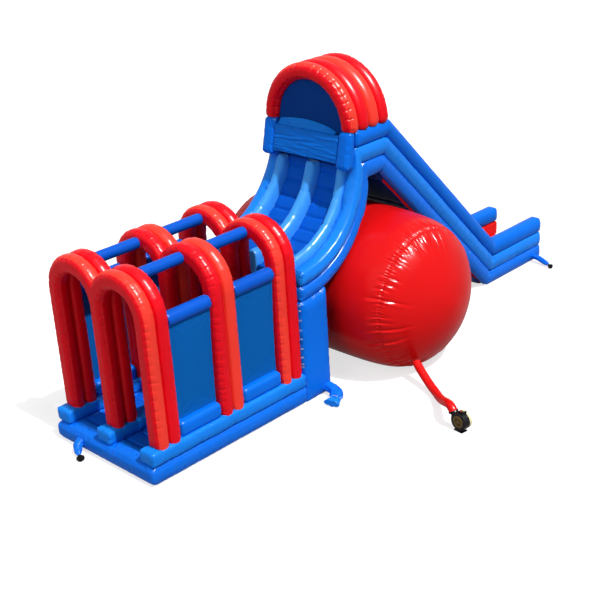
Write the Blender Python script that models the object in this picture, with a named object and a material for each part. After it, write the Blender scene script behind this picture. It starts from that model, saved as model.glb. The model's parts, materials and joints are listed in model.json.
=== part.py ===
"""Inflatable assault-course slide: an arched two-lane tunnel, a curved climbing wall,
a canopied platform and a straight slide, propped by a big air drum and fed by a blower.

Metres, +Z up. The course runs along +X from the tunnel's entrance to the slide's run-out.
The origin is the middle of the tunnel mattress's underside, on the ground.
"""
import math

import bmesh
import bpy
from mathutils import Matrix, Vector

# Sewn-on neighbours and facing panels keep this seam gap
SEAM = 0.0003

# Tunnel base
TUNNEL_WIDTH = 3.20
BASE_HEIGHT = 0.45
ROLL_WIDTH = 0.44
KERB_WIDTH = 0.45
KERB_HEIGHT = 0.30
KERB_OVERHANG = 0.05
THRESHOLD_HEIGHT = 0.07

# Arches: three rows, each of two double-arch tubes sewn back to back
ROW_COUNT = 3
FIRST_ROW_X = 0.21
ROW_PITCH = 1.78
ARCH_TUBE_DEPTH = 0.325
LEG_WIDTH = 0.368
SPRING_HEIGHT = 3.50
ARCH_BEVEL = 0.10
ARCH_ARC_STEPS = 10

# Tubes, bolsters and panels between the rows
CROWN_TUBE_RADIUS = 0.13
CROWN_TUBE_HEIGHT = 4.16
SHOULDER_TUBE_RADIUS = 0.16
SHOULDER_TUBE_HEIGHT = 3.37
BOLSTER_HEIGHT = 0.34
BOLSTER_WIDTH = 0.34
PANEL_THICKNESS = 0.035
PANEL_MARGIN = 0.015

# Block under the foot of the curved wall, with its climbing steps
BLOCK_START_X = 4.46
ROLL_END_X = BLOCK_START_X - SEAM
BLOCK_END_X = 5.30
BLOCK_EDGE = 0.05
STEP_COUNT = 3
STEP_DEPTH = 0.13
STEP_HEIGHT = 0.20
STEP_WIDTH = 0.92

# Curved wall: its lower and upper edges are arcs in the side view
ARC_LOW_X = 4.50
ARC_LOW_Z = 5.12
ARC_LOW_RADIUS = 2.67
ARC_TUBE_HEIGHT = 0.26
ARC_SHIFT_X = 0.08
ARC_SHIFT_Z = 0.18
ARC_TOP_X = ARC_LOW_X + ARC_SHIFT_X
ARC_TOP_Z = ARC_LOW_Z + ARC_SHIFT_Z
ARC_TOP_RADIUS = ARC_LOW_RADIUS - 2 * ARC_TUBE_HEIGHT
ARC_SHARES = (0.0, 0.09, 0.18, 0.27, 0.36, 0.45, 0.54, 0.63, 0.72, 0.81, 0.90, 1.0)
FOOT_HALF_WIDTH = 1.58

# Side walls: tubes C, B and A are stacked from the lower edge up
WALL_THICKNESS = 0.354
LOW_WALL_THICKNESS = 0.22
DECK_LEVELS = (4.56, 4.95, 5.34, 5.72)
SLOPE_ANGLE = math.radians(44.4)
SLOPE_OFFSETS = (3.8675, 4.2375, 4.6115, 4.9615)
RUNOUT_LEVELS = (0.0, 0.37, 0.76, 1.17)
TOWER_X = ARC_TOP_X + math.sqrt(ARC_TOP_RADIUS ** 2 - (ARC_TOP_Z - DECK_LEVELS[2]) ** 2)
RUNOUT_END_X = TOWER_X + 8.10
RAIL_START_X = TOWER_X + 0.03
TOWER_HALF_WIDTH = 1.345
KNEE_HALF_WIDTH = 1.31
BEND_HALF_WIDTH = 0.94
END_HALF_WIDTH = 0.92

# Lanes of the curved wall, in shares of one wall tube above the lower edge
LANE_UNDERSIDE = 0.90
LANE_SURFACE = 1.62
LANE_CREST = 2.45
LANE_CUT = 0.90
CREST_CUT = 0.81
DIVIDER_HALF_WIDTH = 0.165
SIDE_TUBE_WIDTH = 0.27
LANE_CLEARANCE = 0.0012

# Slide bed, in the same shares
BED_UNDERSIDE = -0.16
BED_SURFACE = 0.81
DECK_UNDERSIDE_Z = 4.50
BED_CLEARANCE = 0.0008
RUNOUT_BED_SURFACE_Z = 0.36
RED_TUBE_THICKNESS = 0.13

# Front posts and banner
POST_TOP_FRONT_X = TOWER_X - 0.18
POST_TOP_BACK_X = TOWER_X + 0.005
POST_LOW_FRONT_X = TOWER_X - 0.36
POST_LOW_BACK_X = TOWER_X - 0.065
POST_LOW_Z = 4.88
POST_OUTER_Y = TOWER_HALF_WIDTH
POST_WIDTH = 0.345
BANNER_LOW_Z = 5.00
BANNER_TOP_Z = 5.62
BANNER_THICKNESS = 0.09
BANNER_SETBACK = 0.02
BANNER_EDGE = 0.03

# Canopy
CANOPY_TUBES = 4
CANOPY_START_X = TOWER_X - 0.17
CANOPY_LENGTH = 1.37
CANOPY_OUTER_RADIUS = 1.325
CANOPY_TUBE_WIDTH = 0.37
CANOPY_BEVEL = 0.10
CANOPY_ARC_STEPS = 20
CANOPY_FOOT = 0.02
BACK_PANEL_X = CANOPY_START_X + 0.16
BACK_PANEL_THICKNESS = 0.02
BACK_PANEL_LOW_Z = 5.38

# Drum between the curved wall and the slide
DRUM_RADIUS = 1.865
DRUM_SETTLE = 0.0045
DRUM_AXIS_Z = 1.77
DRUM_X = ARC_LOW_X + math.sqrt((ARC_LOW_RADIUS + DRUM_RADIUS - DRUM_SETTLE) ** 2
                               - (ARC_LOW_Z - DRUM_AXIS_Z) ** 2)
DRUM_SIDES = 36
DRUM_PROFILE = (
    (0.0, DRUM_RADIUS),
    (1.60, DRUM_RADIUS),
    (2.05, 1.835),
    (2.38, 1.800),
    (2.50, 1.715),
    (2.68, 1.610),
    (2.88, 1.450),
    (3.06, 1.260),
    (3.21, 1.020),
    (3.31, 0.760),
    (3.375, 0.440),
    (3.40, 0.0),
)

# Blower
BLOWER_X = DRUM_X - 1.92
BLOWER_Y = -5.03
BLOWER_YAW = math.radians(-7.0)
SCROLL_RADIUS = 0.205
SCROLL_WIDTH = 0.16
SCROLL_WALL = 0.012
SCROLL_AXIS_Z = 0.235
NOZZLE_RADIUS = 0.079
NOZZLE_WALL = 0.008
NOZZLE_REACH = 0.21
NOZZLE_OFFSET = 0.105
NOZZLE_RISE = math.radians(60.0)
INLET_RADIUS = 0.105
IMPELLER_RADIUS = 0.145
IMPELLER_WIDTH = 0.10
IMPELLER_BLADES = 12
BLADE_THICKNESS = 0.008
HUB_RADIUS = 0.034
BACK_PLATE = 0.010
SHAFT_RADIUS = 0.011
RUNNING_GAP = 0.0001
SHAFT_HOLE_RADIUS = 0.016
MOTOR_RADIUS = 0.085
MOTOR_LENGTH = 0.11
GUARD_RADIUS = 0.122
GUARD_BAR = 0.008
GUARD_DEPTH = 0.010
FOOT_THICKNESS = 0.018
FOOT_WIDTH = 0.17
FOOT_LENGTH = 0.24
SWITCH_BOX = (0.07, 0.10, 0.045)
SWITCH_Y = -0.02
ROCKER_SIZE = (0.026, 0.034, 0.012)
ROCKER_SIDE_CLEARANCE = 0.0006
ROCKER_END_CLEARANCE = 0.0015
HANDLE_BAR = 0.022
HANDLE_HEIGHT = 0.055
HANDLE_SPAN = 0.12
HANDLE_Y = -0.105

# Inflation duct from the blower to the drum
DUCT_RADIUS = 0.100
DUCT_SIDES = 16
DUCT_STEPS = 36
DUCT_ROUTE = (
    (DRUM_X - 1.86, -4.725, 0.462),
    (DRUM_X - 1.79, -4.62, 0.448),
    (DRUM_X - 1.67, -4.46, 0.375),
    (DRUM_X - 1.49, -4.23, 0.265),
    (DRUM_X - 1.30, -3.98, 0.180),
    (DRUM_X - 1.11, -3.73, 0.140),
    (DRUM_X - 0.95, -3.42, 0.190),
    (DRUM_X - 0.79, -3.04, 0.360),
    (DRUM_X - 0.65, -2.72, 0.550),
)

# Tied-off inflation sleeves: route points, then half width and half height at each
SLEEVE_SIDES = 12
ENTRANCE_SLEEVE = (
    ((0.00, 0.80, 0.21), 0.120, 0.120),
    ((-0.15, 0.77, 0.17), 0.110, 0.110),
    ((-0.23, 0.66, 0.11), 0.085, 0.085),
    ((-0.28, 0.56, 0.08), 0.070, 0.070),
    ((-0.32, 0.48, 0.08), 0.072, 0.072),
    ((-0.36, 0.40, 0.10), 0.100, 0.095),
)
BLOCK_SLEEVE = (
    ((BLOCK_END_X - 0.17, -1.60, 0.16), 0.130, 0.130),
    ((BLOCK_END_X - 0.18, -1.80, 0.15), 0.140, 0.130),
    ((BLOCK_END_X - 0.25, -1.97, 0.14), 0.160, 0.130),
    ((BLOCK_END_X - 0.37, -2.08, 0.13), 0.180, 0.125),
    ((BLOCK_END_X - 0.51, -2.14, 0.12), 0.200, 0.110),
    ((BLOCK_END_X - 0.64, -2.17, 0.10), 0.220, 0.090),
)
RUNOUT_SLEEVE = (
    ((RUNOUT_END_X - 0.43, -0.92, 0.17), 0.090, 0.090),
    ((RUNOUT_END_X - 0.43, -1.10, 0.16), 0.085, 0.085),
    ((RUNOUT_END_X - 0.48, -1.33, 0.12), 0.080, 0.080),
    ((RUNOUT_END_X - 0.54, -1.52, 0.09), 0.078, 0.078),
    ((RUNOUT_END_X - 0.58, -1.60, 0.075), 0.062, 0.062),
    ((RUNOUT_END_X - 0.62, -1.68, 0.085), 0.078, 0.078),
)

# Puffed section of an air tube in the unit square, flat where it is sewn to its neighbours
PILLOW = (
    (0.30, 0.0), (0.70, 0.0), (0.89, 0.04), (0.975, 0.15),
    (1.0, 0.36), (1.0, 0.64), (0.975, 0.85), (0.89, 0.96),
    (0.70, 1.0), (0.30, 1.0), (0.11, 0.96), (0.025, 0.85),
    (0.0, 0.64), (0.0, 0.36), (0.025, 0.15), (0.11, 0.04),
)

ORIGIN_X = (ROLL_WIDTH + ROLL_END_X) / 2

MATERIALS = {
    "vinyl_blue": ((0.010, 0.190, 0.800), 0.32),
    "vinyl_sky": ((0.035, 0.330, 0.950), 0.32),
    "vinyl_deep": ((0.003, 0.110, 0.620), 0.34),
    "vinyl_navy": ((0.004, 0.045, 0.270), 0.40),
    "panel_blue": ((0.004, 0.110, 0.450), 0.60),
    "vinyl_red": ((0.800, 0.010, 0.012), 0.30),
    "vinyl_crimson": ((0.720, 0.002, 0.022), 0.30),
    "vinyl_coral": ((0.900, 0.050, 0.030), 0.30),
    "blower_black": ((0.012, 0.012, 0.014), 0.45),
    "blower_gold": ((0.700, 0.440, 0.120), 0.30),
    "motor_grey": ((0.160, 0.165, 0.175), 0.40),
}
METALS = ("blower_gold", "motor_grey")


def clear_scene():
    for old in list(bpy.data.objects):
        bpy.data.objects.remove(old, do_unlink=True)


def vinyl(name):
    """One Principled material per colour of coated fabric, shared by its pieces."""
    found = bpy.data.materials.get(name)
    if found:
        return found
    colour, roughness = MATERIALS[name]
    made = bpy.data.materials.new(name)
    made.use_nodes = True
    shader = made.node_tree.nodes["Principled BSDF"]
    shader.inputs["Base Color"].default_value = (*colour, 1.0)
    shader.inputs["Roughness"].default_value = roughness
    shader.inputs["Metallic"].default_value = 0.9 if name in METALS else 0.0
    return made


def add_object(name, bm, material, parent=None, smooth_angle=40.0):
    """Turn a bmesh into a named, shaded object under its parent."""
    bmesh.ops.recalc_face_normals(bm, faces=bm.faces)
    mesh = bpy.data.meshes.new(name)
    bm.to_mesh(mesh)
    bm.free()
    mesh.shade_smooth()
    mesh.set_sharp_from_angle(angle=math.radians(smooth_angle))
    made = bpy.data.objects.new(name, mesh)
    mesh.materials.append(vinyl(material))
    bpy.context.scene.collection.objects.link(made)
    made.parent = parent or COURSE
    return made


def add_cutter(name, bm, parent=None):
    """A hidden helper solid for a Boolean."""
    made = add_object(name, bm, "motor_grey", parent)
    made.hide_render = True
    made.display_type = "WIRE"
    return made


def boolean(target, operation, helper):
    step = target.modifiers.new(operation.title() + "_" + helper.name, "BOOLEAN")
    step.operation = operation
    step.solver = "EXACT"
    step.object = helper


def add_box(bm, low, high):
    """A box between two corners, added to a bmesh; returns its edges."""
    low = Vector(low)
    high = Vector(high)
    place = Matrix.Translation((low + high) / 2) @ Matrix.Diagonal((*(high - low), 1.0))
    made = bmesh.ops.create_cube(bm, size=1.0, matrix=place)
    return list({edge for vert in made["verts"] for edge in vert.link_edges})


def soft_box(low, high, edge, segments=2):
    """A box whose edges are rounded, as a low-pressure pad's are."""
    bm = bmesh.new()
    edges = add_box(bm, low, high)
    bmesh.ops.bevel(bm, geom=edges, offset=edge, segments=segments, profile=0.5, affect="EDGES")
    return bm


def loft(rings):
    """Skin a list of equal rings of points and close both ends."""
    bm = bmesh.new()
    loops = [[bm.verts.new(point) for point in ring] for ring in rings]
    count = len(loops[0])
    for near, far in zip(loops, loops[1:]):
        for index in range(count):
            following = (index + 1) % count
            bm.faces.new((near[index], near[following], far[following], far[index]))
    bm.faces.new(loops[0])
    bm.faces.new(loops[-1])
    return bm


def extrude_outline(outline, thickness):
    """Extrude a closed outline of points along the vector called thickness."""
    bm = bmesh.new()
    face = bm.faces.new([bm.verts.new(point) for point in outline])
    grown = bmesh.ops.extrude_face_region(bm, geom=[face])
    moved = [item for item in grown["geom"] if isinstance(item, bmesh.types.BMVert)]
    bmesh.ops.translate(bm, verts=moved, vec=thickness)
    return bm


def bevel_rims(bm, axis, offset, segments=2):
    """Round the rims of an extrusion along the given axis, leaving its corners sharp."""
    rims = []
    for edge in bm.edges:
        across = [abs(face.normal[axis]) > 0.99 for face in edge.link_faces]
        if any(across) and not all(across):
            rims.append(edge)
    bmesh.ops.bevel(bm, geom=rims, offset=offset, segments=segments, profile=0.5,
                    affect="EDGES", clamp_overlap=True)


def tube_between(start, end, radius, sides=16):
    """A straight round tube with its ends slightly drawn in."""
    start = Vector(start)
    end = Vector(end)
    along = (end - start).normalized()
    turn = along.to_track_quat("Z", "Y")
    draw = radius * 0.18
    stops = ((0.0, 0.90), (draw, 1.0), ((end - start).length - draw, 1.0), ((end - start).length, 0.90))
    rings = []
    for distance, share in stops:
        centre = start + along * distance
        rings.append([centre + turn @ Vector((radius * share * math.cos(angle),
                                              radius * share * math.sin(angle), 0.0))
                      for angle in (2 * math.pi * (k + 0.5) / sides for k in range(sides))])
    return loft(rings)


def lathe(profile, sides, turn_axis="Y"):
    """Revolve (place along the axis, radius) pairs; both ends close on the axis."""
    bm = bmesh.new()
    verts = [bm.verts.new((place, 0.0, radius)) for place, radius in profile]
    edges = [bm.edges.new(pair) for pair in zip(verts, verts[1:])]
    bmesh.ops.spin(bm, geom=verts + edges, cent=(0, 0, 0), axis=(1, 0, 0), angle=2 * math.pi,
                   steps=sides, use_merge=True)
    bmesh.ops.remove_doubles(bm, verts=bm.verts, dist=1e-5)
    # Half a step of turn puts a flat facet underneath
    bmesh.ops.rotate(bm, verts=bm.verts, cent=(0, 0, 0), matrix=Matrix.Rotation(math.pi / sides, 3, "X"))
    if turn_axis == "Y":
        bmesh.ops.rotate(bm, verts=bm.verts, cent=(0, 0, 0), matrix=Matrix.Rotation(math.pi / 2, 3, "Z"))
    return bm


def mix(low, high, share):
    return low + (high - low) * share


def level_value(values, level):
    """Read a row of tube-edge values at a level counted in tubes, past the ends too."""
    index = min(max(int(math.floor(level)), 0), len(values) - 2)
    return mix(values[index], values[index + 1], level - index)


def arc_point(level, share):
    """A point (x, z) on the curved wall, share of the way up to the platform."""
    blend = level / 2
    centre_x = mix(ARC_LOW_X, ARC_TOP_X, blend)
    centre_z = mix(ARC_LOW_Z, ARC_TOP_Z, blend)
    radius = mix(ARC_LOW_RADIUS, ARC_TOP_RADIUS, blend)
    whole = math.acos((centre_z - level_value(DECK_LEVELS, level)) / radius)
    return (centre_x + radius * math.sin(whole * share), centre_z - radius * math.cos(whole * share))


def slope_at_height(offset, height):
    """Where a line of the slope, at this offset from the tower's foot, reaches a height."""
    return (TOWER_X + (offset - height * math.cos(SLOPE_ANGLE)) / math.sin(SLOPE_ANGLE), height)


def knee_point(level):
    return slope_at_height(level_value(SLOPE_OFFSETS, level), level_value(DECK_LEVELS, level))


def bend_point(level):
    return slope_at_height(level_value(SLOPE_OFFSETS, level), max(level_value(RUNOUT_LEVELS, level), 0.0))


def end_point(level):
    return (RUNOUT_END_X, max(level_value(RUNOUT_LEVELS, level), 0.0))


def arc_half_width(share):
    return mix(FOOT_HALF_WIDTH, TOWER_HALF_WIDTH, share * share)


def arc_wall_thickness(share):
    """The wall thins beside the platform, where the red inner tube starts."""
    late = max(share - 0.8, 0.0) / 0.2
    return mix(WALL_THICKNESS, LOW_WALL_THICKNESS, late)


def wall_stations(level_from, level_to, on_curve):
    """Rows of (low point, high point, outer half width, thickness) along one wall tube."""
    rows = []
    if on_curve:
        for share in ARC_SHARES:
            rows.append((arc_point(level_from, share), arc_point(level_to, share),
                         arc_half_width(share), arc_wall_thickness(share)))
        thickness = LOW_WALL_THICKNESS
    else:
        rows.append(((RAIL_START_X, level_value(DECK_LEVELS, level_from)),
                     (RAIL_START_X, level_value(DECK_LEVELS, level_to)),
                     TOWER_HALF_WIDTH, WALL_THICKNESS))
        thickness = WALL_THICKNESS
    for place, half_width in ((knee_point, KNEE_HALF_WIDTH), (bend_point, BEND_HALF_WIDTH),
                              (end_point, END_HALF_WIDTH)):
        rows.append((place(level_from), place(level_to), half_width, thickness))
    return rows


def pillow_rings(rows, side):
    """Rings of an air tube between its low and high edges, on the near (-1) or far (+1) side."""
    rings = []
    for low, high, outer, thickness in rows:
        height = math.dist(low, high)
        margin = SEAM / 2 / height
        ring = []
        for across, up in PILLOW:
            share = margin + (1 - 2 * margin) * up
            ring.append(Vector((mix(low[0], high[0], share),
                                side * (outer - thickness * across),
                                mix(low[1], high[1], share))))
        rings.append(ring)
    return rings


def side_word(side):
    return "near" if side < 0 else "far"


def row_start(row):
    return FIRST_ROW_X + ROW_PITCH * row


def row_end(row):
    return row_start(row) + 2 * ARCH_TUBE_DEPTH


def kerb_top():
    return BASE_HEIGHT + KERB_HEIGHT


def base_roll_section():
    """The base roll's section as (across, up), flat on the ground and under the kerb."""
    half = ROLL_WIDTH / 2
    bulge = KERB_OVERHANG
    return ((-half + 0.05, 0.0), (half - 0.03, 0.0), (half, 0.05), (half, BASE_HEIGHT - 0.06),
            (half - 0.05, BASE_HEIGHT), (-half + 0.06, BASE_HEIGHT), (-half - bulge * 0.7, BASE_HEIGHT - 0.08),
            (-half - bulge, BASE_HEIGHT * 0.5), (-half - bulge * 0.7, 0.08))


def build_base():
    """A roll round three sides, a mattress inside it and three kerbs that carry the legs."""
    half_width = TUNNEL_WIDTH / 2
    middle = half_width - ROLL_WIDTH / 2
    corner_x = ROLL_WIDTH / 2
    section = base_roll_section()
    rings = []
    for x, y, out_x, out_y in ((ROLL_END_X, -middle, 0, -1), (corner_x, -middle, -1, -1),
                               (corner_x, middle, -1, 1), (ROLL_END_X, middle, 0, 1)):
        rings.append([Vector((x - out_x * across, y - out_y * across, up)) for across, up in section])
    roll = add_object("base_roll", loft(rings), "vinyl_blue")

    inner_y = half_width - ROLL_WIDTH - SEAM
    mattress = soft_box((ROLL_WIDTH + SEAM, -inner_y, 0.0), (ROLL_END_X, inner_y, BASE_HEIGHT), 0.03)
    add_object("lane_mattress", mattress, "vinyl_deep")

    leg_centre = half_width - LEG_WIDTH / 2
    for word, centre in (("near", -leg_centre), ("middle", 0.0), ("far", leg_centre)):
        low = (0.01, centre - KERB_WIDTH / 2, BASE_HEIGHT + SEAM)
        high = (ROLL_END_X, centre + KERB_WIDTH / 2, kerb_top())
        add_object("kerb_" + word, soft_box(low, high, 0.025), "vinyl_sky")

    lane_centre = leg_centre / 2
    gap = leg_centre - KERB_WIDTH - 2 * SEAM
    low = BASE_HEIGHT - 0.10
    for side in (-1, 1):
        rings = []
        for x, rise in ((0.06, 0.0), (0.11, 0.75), (0.20, 1.0), (0.30, 0.8), (0.38, 0.0)):
            top = BASE_HEIGHT + THRESHOLD_HEIGHT * rise
            centre = side * lane_centre
            rings.append([Vector((x, centre + gap / 2 * across, mix(low, top, up)))
                          for across, up in ((-1, 0), (1, 0), (1, 0.6), (0.8, 1), (-0.8, 1), (-1, 0.6))])
        boolean(roll, "UNION", add_cutter("threshold_form_" + side_word(side), loft(rings)))


def double_arch_outline(x):
    """Front outline of an M of two round arches on three legs, in the plane at x."""
    half_width = TUNNEL_WIDTH / 2
    lane = (half_width - 1.5 * LEG_WIDTH)
    inner = lane / 2
    outer = inner + LEG_WIDTH
    centre = half_width - outer
    foot = kerb_top() + SEAM
    dip = math.acos(centre / outer)

    def arc(middle, radius, start, stop):
        return [(x, middle + radius * math.cos(mix(start, stop, k / ARCH_ARC_STEPS)),
                 SPRING_HEIGHT + radius * math.sin(mix(start, stop, k / ARCH_ARC_STEPS)))
                for k in range(ARCH_ARC_STEPS + 1)]

    points = [(x, -half_width, foot)]
    points += arc(-centre, outer, math.pi, dip)
    points += arc(centre, outer, math.pi - dip, 0.0)[1:]
    points += [(x, half_width, foot), (x, half_width - LEG_WIDTH, foot)]
    points += arc(centre, inner, 0.0, math.pi)
    points += [(x, LEG_WIDTH / 2, foot), (x, -LEG_WIDTH / 2, foot)]
    points += arc(-centre, inner, 0.0, math.pi)
    points += [(x, -half_width + LEG_WIDTH, foot)]
    return points


def build_arches():
    for row in range(ROW_COUNT):
        colours = ("vinyl_coral", "vinyl_crimson") if row % 2 == 0 else ("vinyl_crimson", "vinyl_coral")
        for place, word, colour in ((0, "front", colours[0]), (1, "rear", colours[1])):
            start = row_start(row) + place * ARCH_TUBE_DEPTH
            outline = double_arch_outline(start + place * SEAM)
            bm = extrude_outline(outline, Vector((ARCH_TUBE_DEPTH - SEAM, 0, 0)))
            bmesh.ops.recalc_face_normals(bm, faces=bm.faces)
            bevel_rims(bm, 0, ARCH_BEVEL)
            add_object("arch_{}_{}".format(row + 1, word), bm, colour)


def build_bays():
    """Crown tubes, shoulder tubes, bolsters and side panels between neighbouring rows."""
    half_width = TUNNEL_WIDTH / 2
    leg_centre = half_width - LEG_WIDTH / 2
    for bay in range(ROW_COUNT - 1):
        start = row_end(bay) + SEAM
        end = row_start(bay + 1) - SEAM
        for side in (-1, 1):
            tag = "_{}_{}".format(side_word(side), bay + 1)
            crown_y = side * leg_centre / 2
            crown = tube_between((start, crown_y, CROWN_TUBE_HEIGHT), (end, crown_y, CROWN_TUBE_HEIGHT),
                                 CROWN_TUBE_RADIUS)
            add_object("crown_tube" + tag, crown, "vinyl_blue")
            shoulder_y = side * leg_centre
            shoulder = tube_between((start, shoulder_y, SHOULDER_TUBE_HEIGHT),
                                    (end, shoulder_y, SHOULDER_TUBE_HEIGHT), SHOULDER_TUBE_RADIUS)
            add_object("shoulder_tube" + tag, shoulder, "vinyl_blue")

            bolster_low = kerb_top() + SEAM
            bolster_top = bolster_low + BOLSTER_HEIGHT
            bolster = soft_box((start, shoulder_y - BOLSTER_WIDTH / 2, bolster_low),
                               (end, shoulder_y + BOLSTER_WIDTH / 2, bolster_top), 0.09, 3)
            add_object("bolster" + tag, bolster, "vinyl_blue")

            panel_top = SHOULDER_TUBE_HEIGHT - SHOULDER_TUBE_RADIUS * math.cos(math.pi / 16) - SEAM
            panel = soft_box((start + PANEL_MARGIN, shoulder_y - PANEL_THICKNESS / 2, bolster_top + SEAM),
                             (end - PANEL_MARGIN, shoulder_y + PANEL_THICKNESS / 2, panel_top), 0.008, 1)
            add_object("side_panel" + tag, panel, "panel_blue")


def build_block():
    """The block that carries the curved wall's foot; its tunnel face has step rolls."""
    half_width = TUNNEL_WIDTH / 2
    top = arc_point(0, 0)[1] - SEAM
    outline = [(BLOCK_START_X, -half_width, 0.0), (BLOCK_END_X, -half_width, 0.0)]
    underside = [arc_point(0, share) for share in ARC_SHARES]
    last = next(index for index, point in enumerate(underside) if point[0] > BLOCK_END_X)
    before, after = underside[last - 1:last + 1]
    share = (BLOCK_END_X - before[0]) / (after[0] - before[0])
    tops = [(BLOCK_END_X, mix(before[1], after[1], share)), *reversed(underside[:last])]
    outline += [(x, -half_width, z - SEAM) for x, z in tops]
    outline.append((BLOCK_START_X, -half_width, top))
    bm = extrude_outline(outline, Vector((0, 2 * half_width, 0)))
    bmesh.ops.recalc_face_normals(bm, faces=bm.faces)
    bevel_rims(bm, 1, BLOCK_EDGE)
    body = add_object("climb_block", bm, "vinyl_blue")
    lane_centre = (half_width - LEG_WIDTH / 2) / 2
    rise = (top - kerb_top()) / (STEP_COUNT + 0.5)
    for side in (-1, 1):
        for step in range(STEP_COUNT):
            low = kerb_top() + rise * (step + 0.3)
            roll = soft_box((BLOCK_START_X - STEP_DEPTH, side * lane_centre - STEP_WIDTH / 2, low),
                            (BLOCK_START_X + STEP_DEPTH, side * lane_centre + STEP_WIDTH / 2,
                             low + STEP_HEIGHT), 0.07, 2)
            name = "step_form_{}_{}".format(side_word(side), step + 1)
            boolean(body, "UNION", add_cutter(name, roll))


def build_walls():
    """Side tubes: C and B run from the block to the run-out, A from the tower to the run-out."""
    for side in (-1, 1):
        word = side_word(side)
        for name, level, on_curve, colour in (("lower", 0, True, "vinyl_blue"),
                                              ("rail", 1, True, "vinyl_sky"),
                                              ("upper", 2, False, "vinyl_blue")):
            rows = wall_stations(level, level + 1, on_curve)
            add_object("wall_{}_{}".format(name, word), loft(pillow_rings(rows, side)), colour)


def strip_rings(levels, section, inner, outer, side, low_up=1.0):
    """Rings of a strip of the curved wall; inner and outer give half widths at a share.

    The section's points are (across from the outer edge, up between the two levels);
    past the crest's cut the strip is no higher than low_up.
    """
    rings = []
    for share in ARC_SHARES:
        if share > LANE_CUT:
            continue
        limit = low_up if share > CREST_CUT else 1.0
        ring = []
        for across, up in section:
            x, z = arc_point(mix(*levels, min(up, limit)), share)
            ring.append(Vector((x, side * mix(outer(share), inner(share), across), z)))
        rings.append(ring)
    return rings


def wall_inside(share):
    return arc_half_width(share) - arc_wall_thickness(share) - LANE_CLEARANCE


def build_lanes():
    """Two climbing lanes, the divider between them and a side tube along each wall."""
    lane_levels = (LANE_UNDERSIDE, LANE_SURFACE)
    tube_levels = (LANE_UNDERSIDE, LANE_CREST)
    shoulder = 0.85
    lane_up = (LANE_SURFACE - LANE_UNDERSIDE) / (LANE_CREST - LANE_UNDERSIDE)
    seam_up = shoulder * lane_up
    mattress = ((0.0, 0.0), (1.0, 0.0), (1.0, shoulder), (0.94, 1.0), (0.06, 1.0), (0.0, shoulder))
    ridge = ((0.0, 0.0), (1.0, 0.0), (1.0, seam_up), (0.98, 0.58), (0.93, 0.78), (0.82, 0.91), (0.66, 0.98),
             (0.5, 1.0), (0.34, 0.98), (0.18, 0.91), (0.07, 0.78), (0.02, 0.58), (0.0, seam_up))
    divider = strip_rings(tube_levels, ridge, lambda share: -DIVIDER_HALF_WIDTH,
                          lambda share: DIVIDER_HALF_WIDTH, 1, lane_up)
    add_object("lane_divider", loft(divider), "vinyl_sky")
    for side in (-1, 1):
        lane = strip_rings(lane_levels, mattress, lambda share: DIVIDER_HALF_WIDTH + SEAM,
                           lambda share: wall_inside(share) - SIDE_TUBE_WIDTH - LANE_CLEARANCE, side)
        add_object("climb_lane_" + side_word(side), loft(lane), "vinyl_deep")
        tube = strip_rings(tube_levels, ridge, lambda share: wall_inside(share) - SIDE_TUBE_WIDTH,
                           wall_inside, side, lane_up)
        add_object("lane_side_tube_" + side_word(side), loft(tube), "vinyl_sky")


def deck_front(height):
    """The platform's front face, on the line where the climbing lanes end."""
    low = arc_point(LANE_UNDERSIDE, LANE_CUT)
    high = arc_point(LANE_SURFACE, LANE_CUT)
    share = (height - low[1]) / (high[1] - low[1])
    return (mix(low[0], high[0], share) + LANE_CLEARANCE, height)


def build_slide():
    """One quilted bed from the platform down to the run-out, with a red tube on each side."""
    deck_z = level_value(DECK_LEVELS, BED_SURFACE)
    inside = [half - LOW_WALL_THICKNESS - BED_CLEARANCE
              for half in (KNEE_HALF_WIDTH, BEND_HALF_WIDTH, END_HALF_WIDTH)]
    low_knee = slope_at_height(level_value(SLOPE_OFFSETS, BED_UNDERSIDE), DECK_UNDERSIDE_Z)
    high_knee = slope_at_height(level_value(SLOPE_OFFSETS, BED_SURFACE), deck_z)
    low_bend = slope_at_height(level_value(SLOPE_OFFSETS, BED_UNDERSIDE), 0.0)
    high_bend = slope_at_height(level_value(SLOPE_OFFSETS, BED_SURFACE), RUNOUT_BED_SURFACE_Z)
    low = (deck_front(DECK_UNDERSIDE_Z), low_knee, low_bend, (RUNOUT_END_X, 0.0))
    high = (deck_front(deck_z), high_knee, high_bend, (RUNOUT_END_X, RUNOUT_BED_SURFACE_Z))
    half = (inside[0], *inside)
    section = ((-1.0, 0.0), (1.0, 0.0), (1.0, 1.0), (0.5, 1.0), (0.0, 1.0), (-0.5, 1.0), (-1.0, 1.0))
    rings = []
    for bottom, top, width in zip(low, high, half):
        rings.append([Vector((mix(bottom[0], top[0], up), width * across, mix(bottom[1], top[1], up)))
                      for across, up in section])
    add_object("slide_bed", loft(rings), "vinyl_red")

    top_level = 2 - SEAM / (SLOPE_OFFSETS[2] - SLOPE_OFFSETS[1])
    tops = ((high[0][0], level_value(DECK_LEVELS, top_level)), knee_point(top_level), bend_point(top_level),
            end_point(top_level))
    for side in (-1, 1):
        rows = []
        for bottom, top, width in zip(high, tops, half):
            rows.append((bottom, top, width, RED_TUBE_THICKNESS))
        add_object("slide_side_tube_" + side_word(side), loft(pillow_rings(rows, side)), "vinyl_red")


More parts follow.
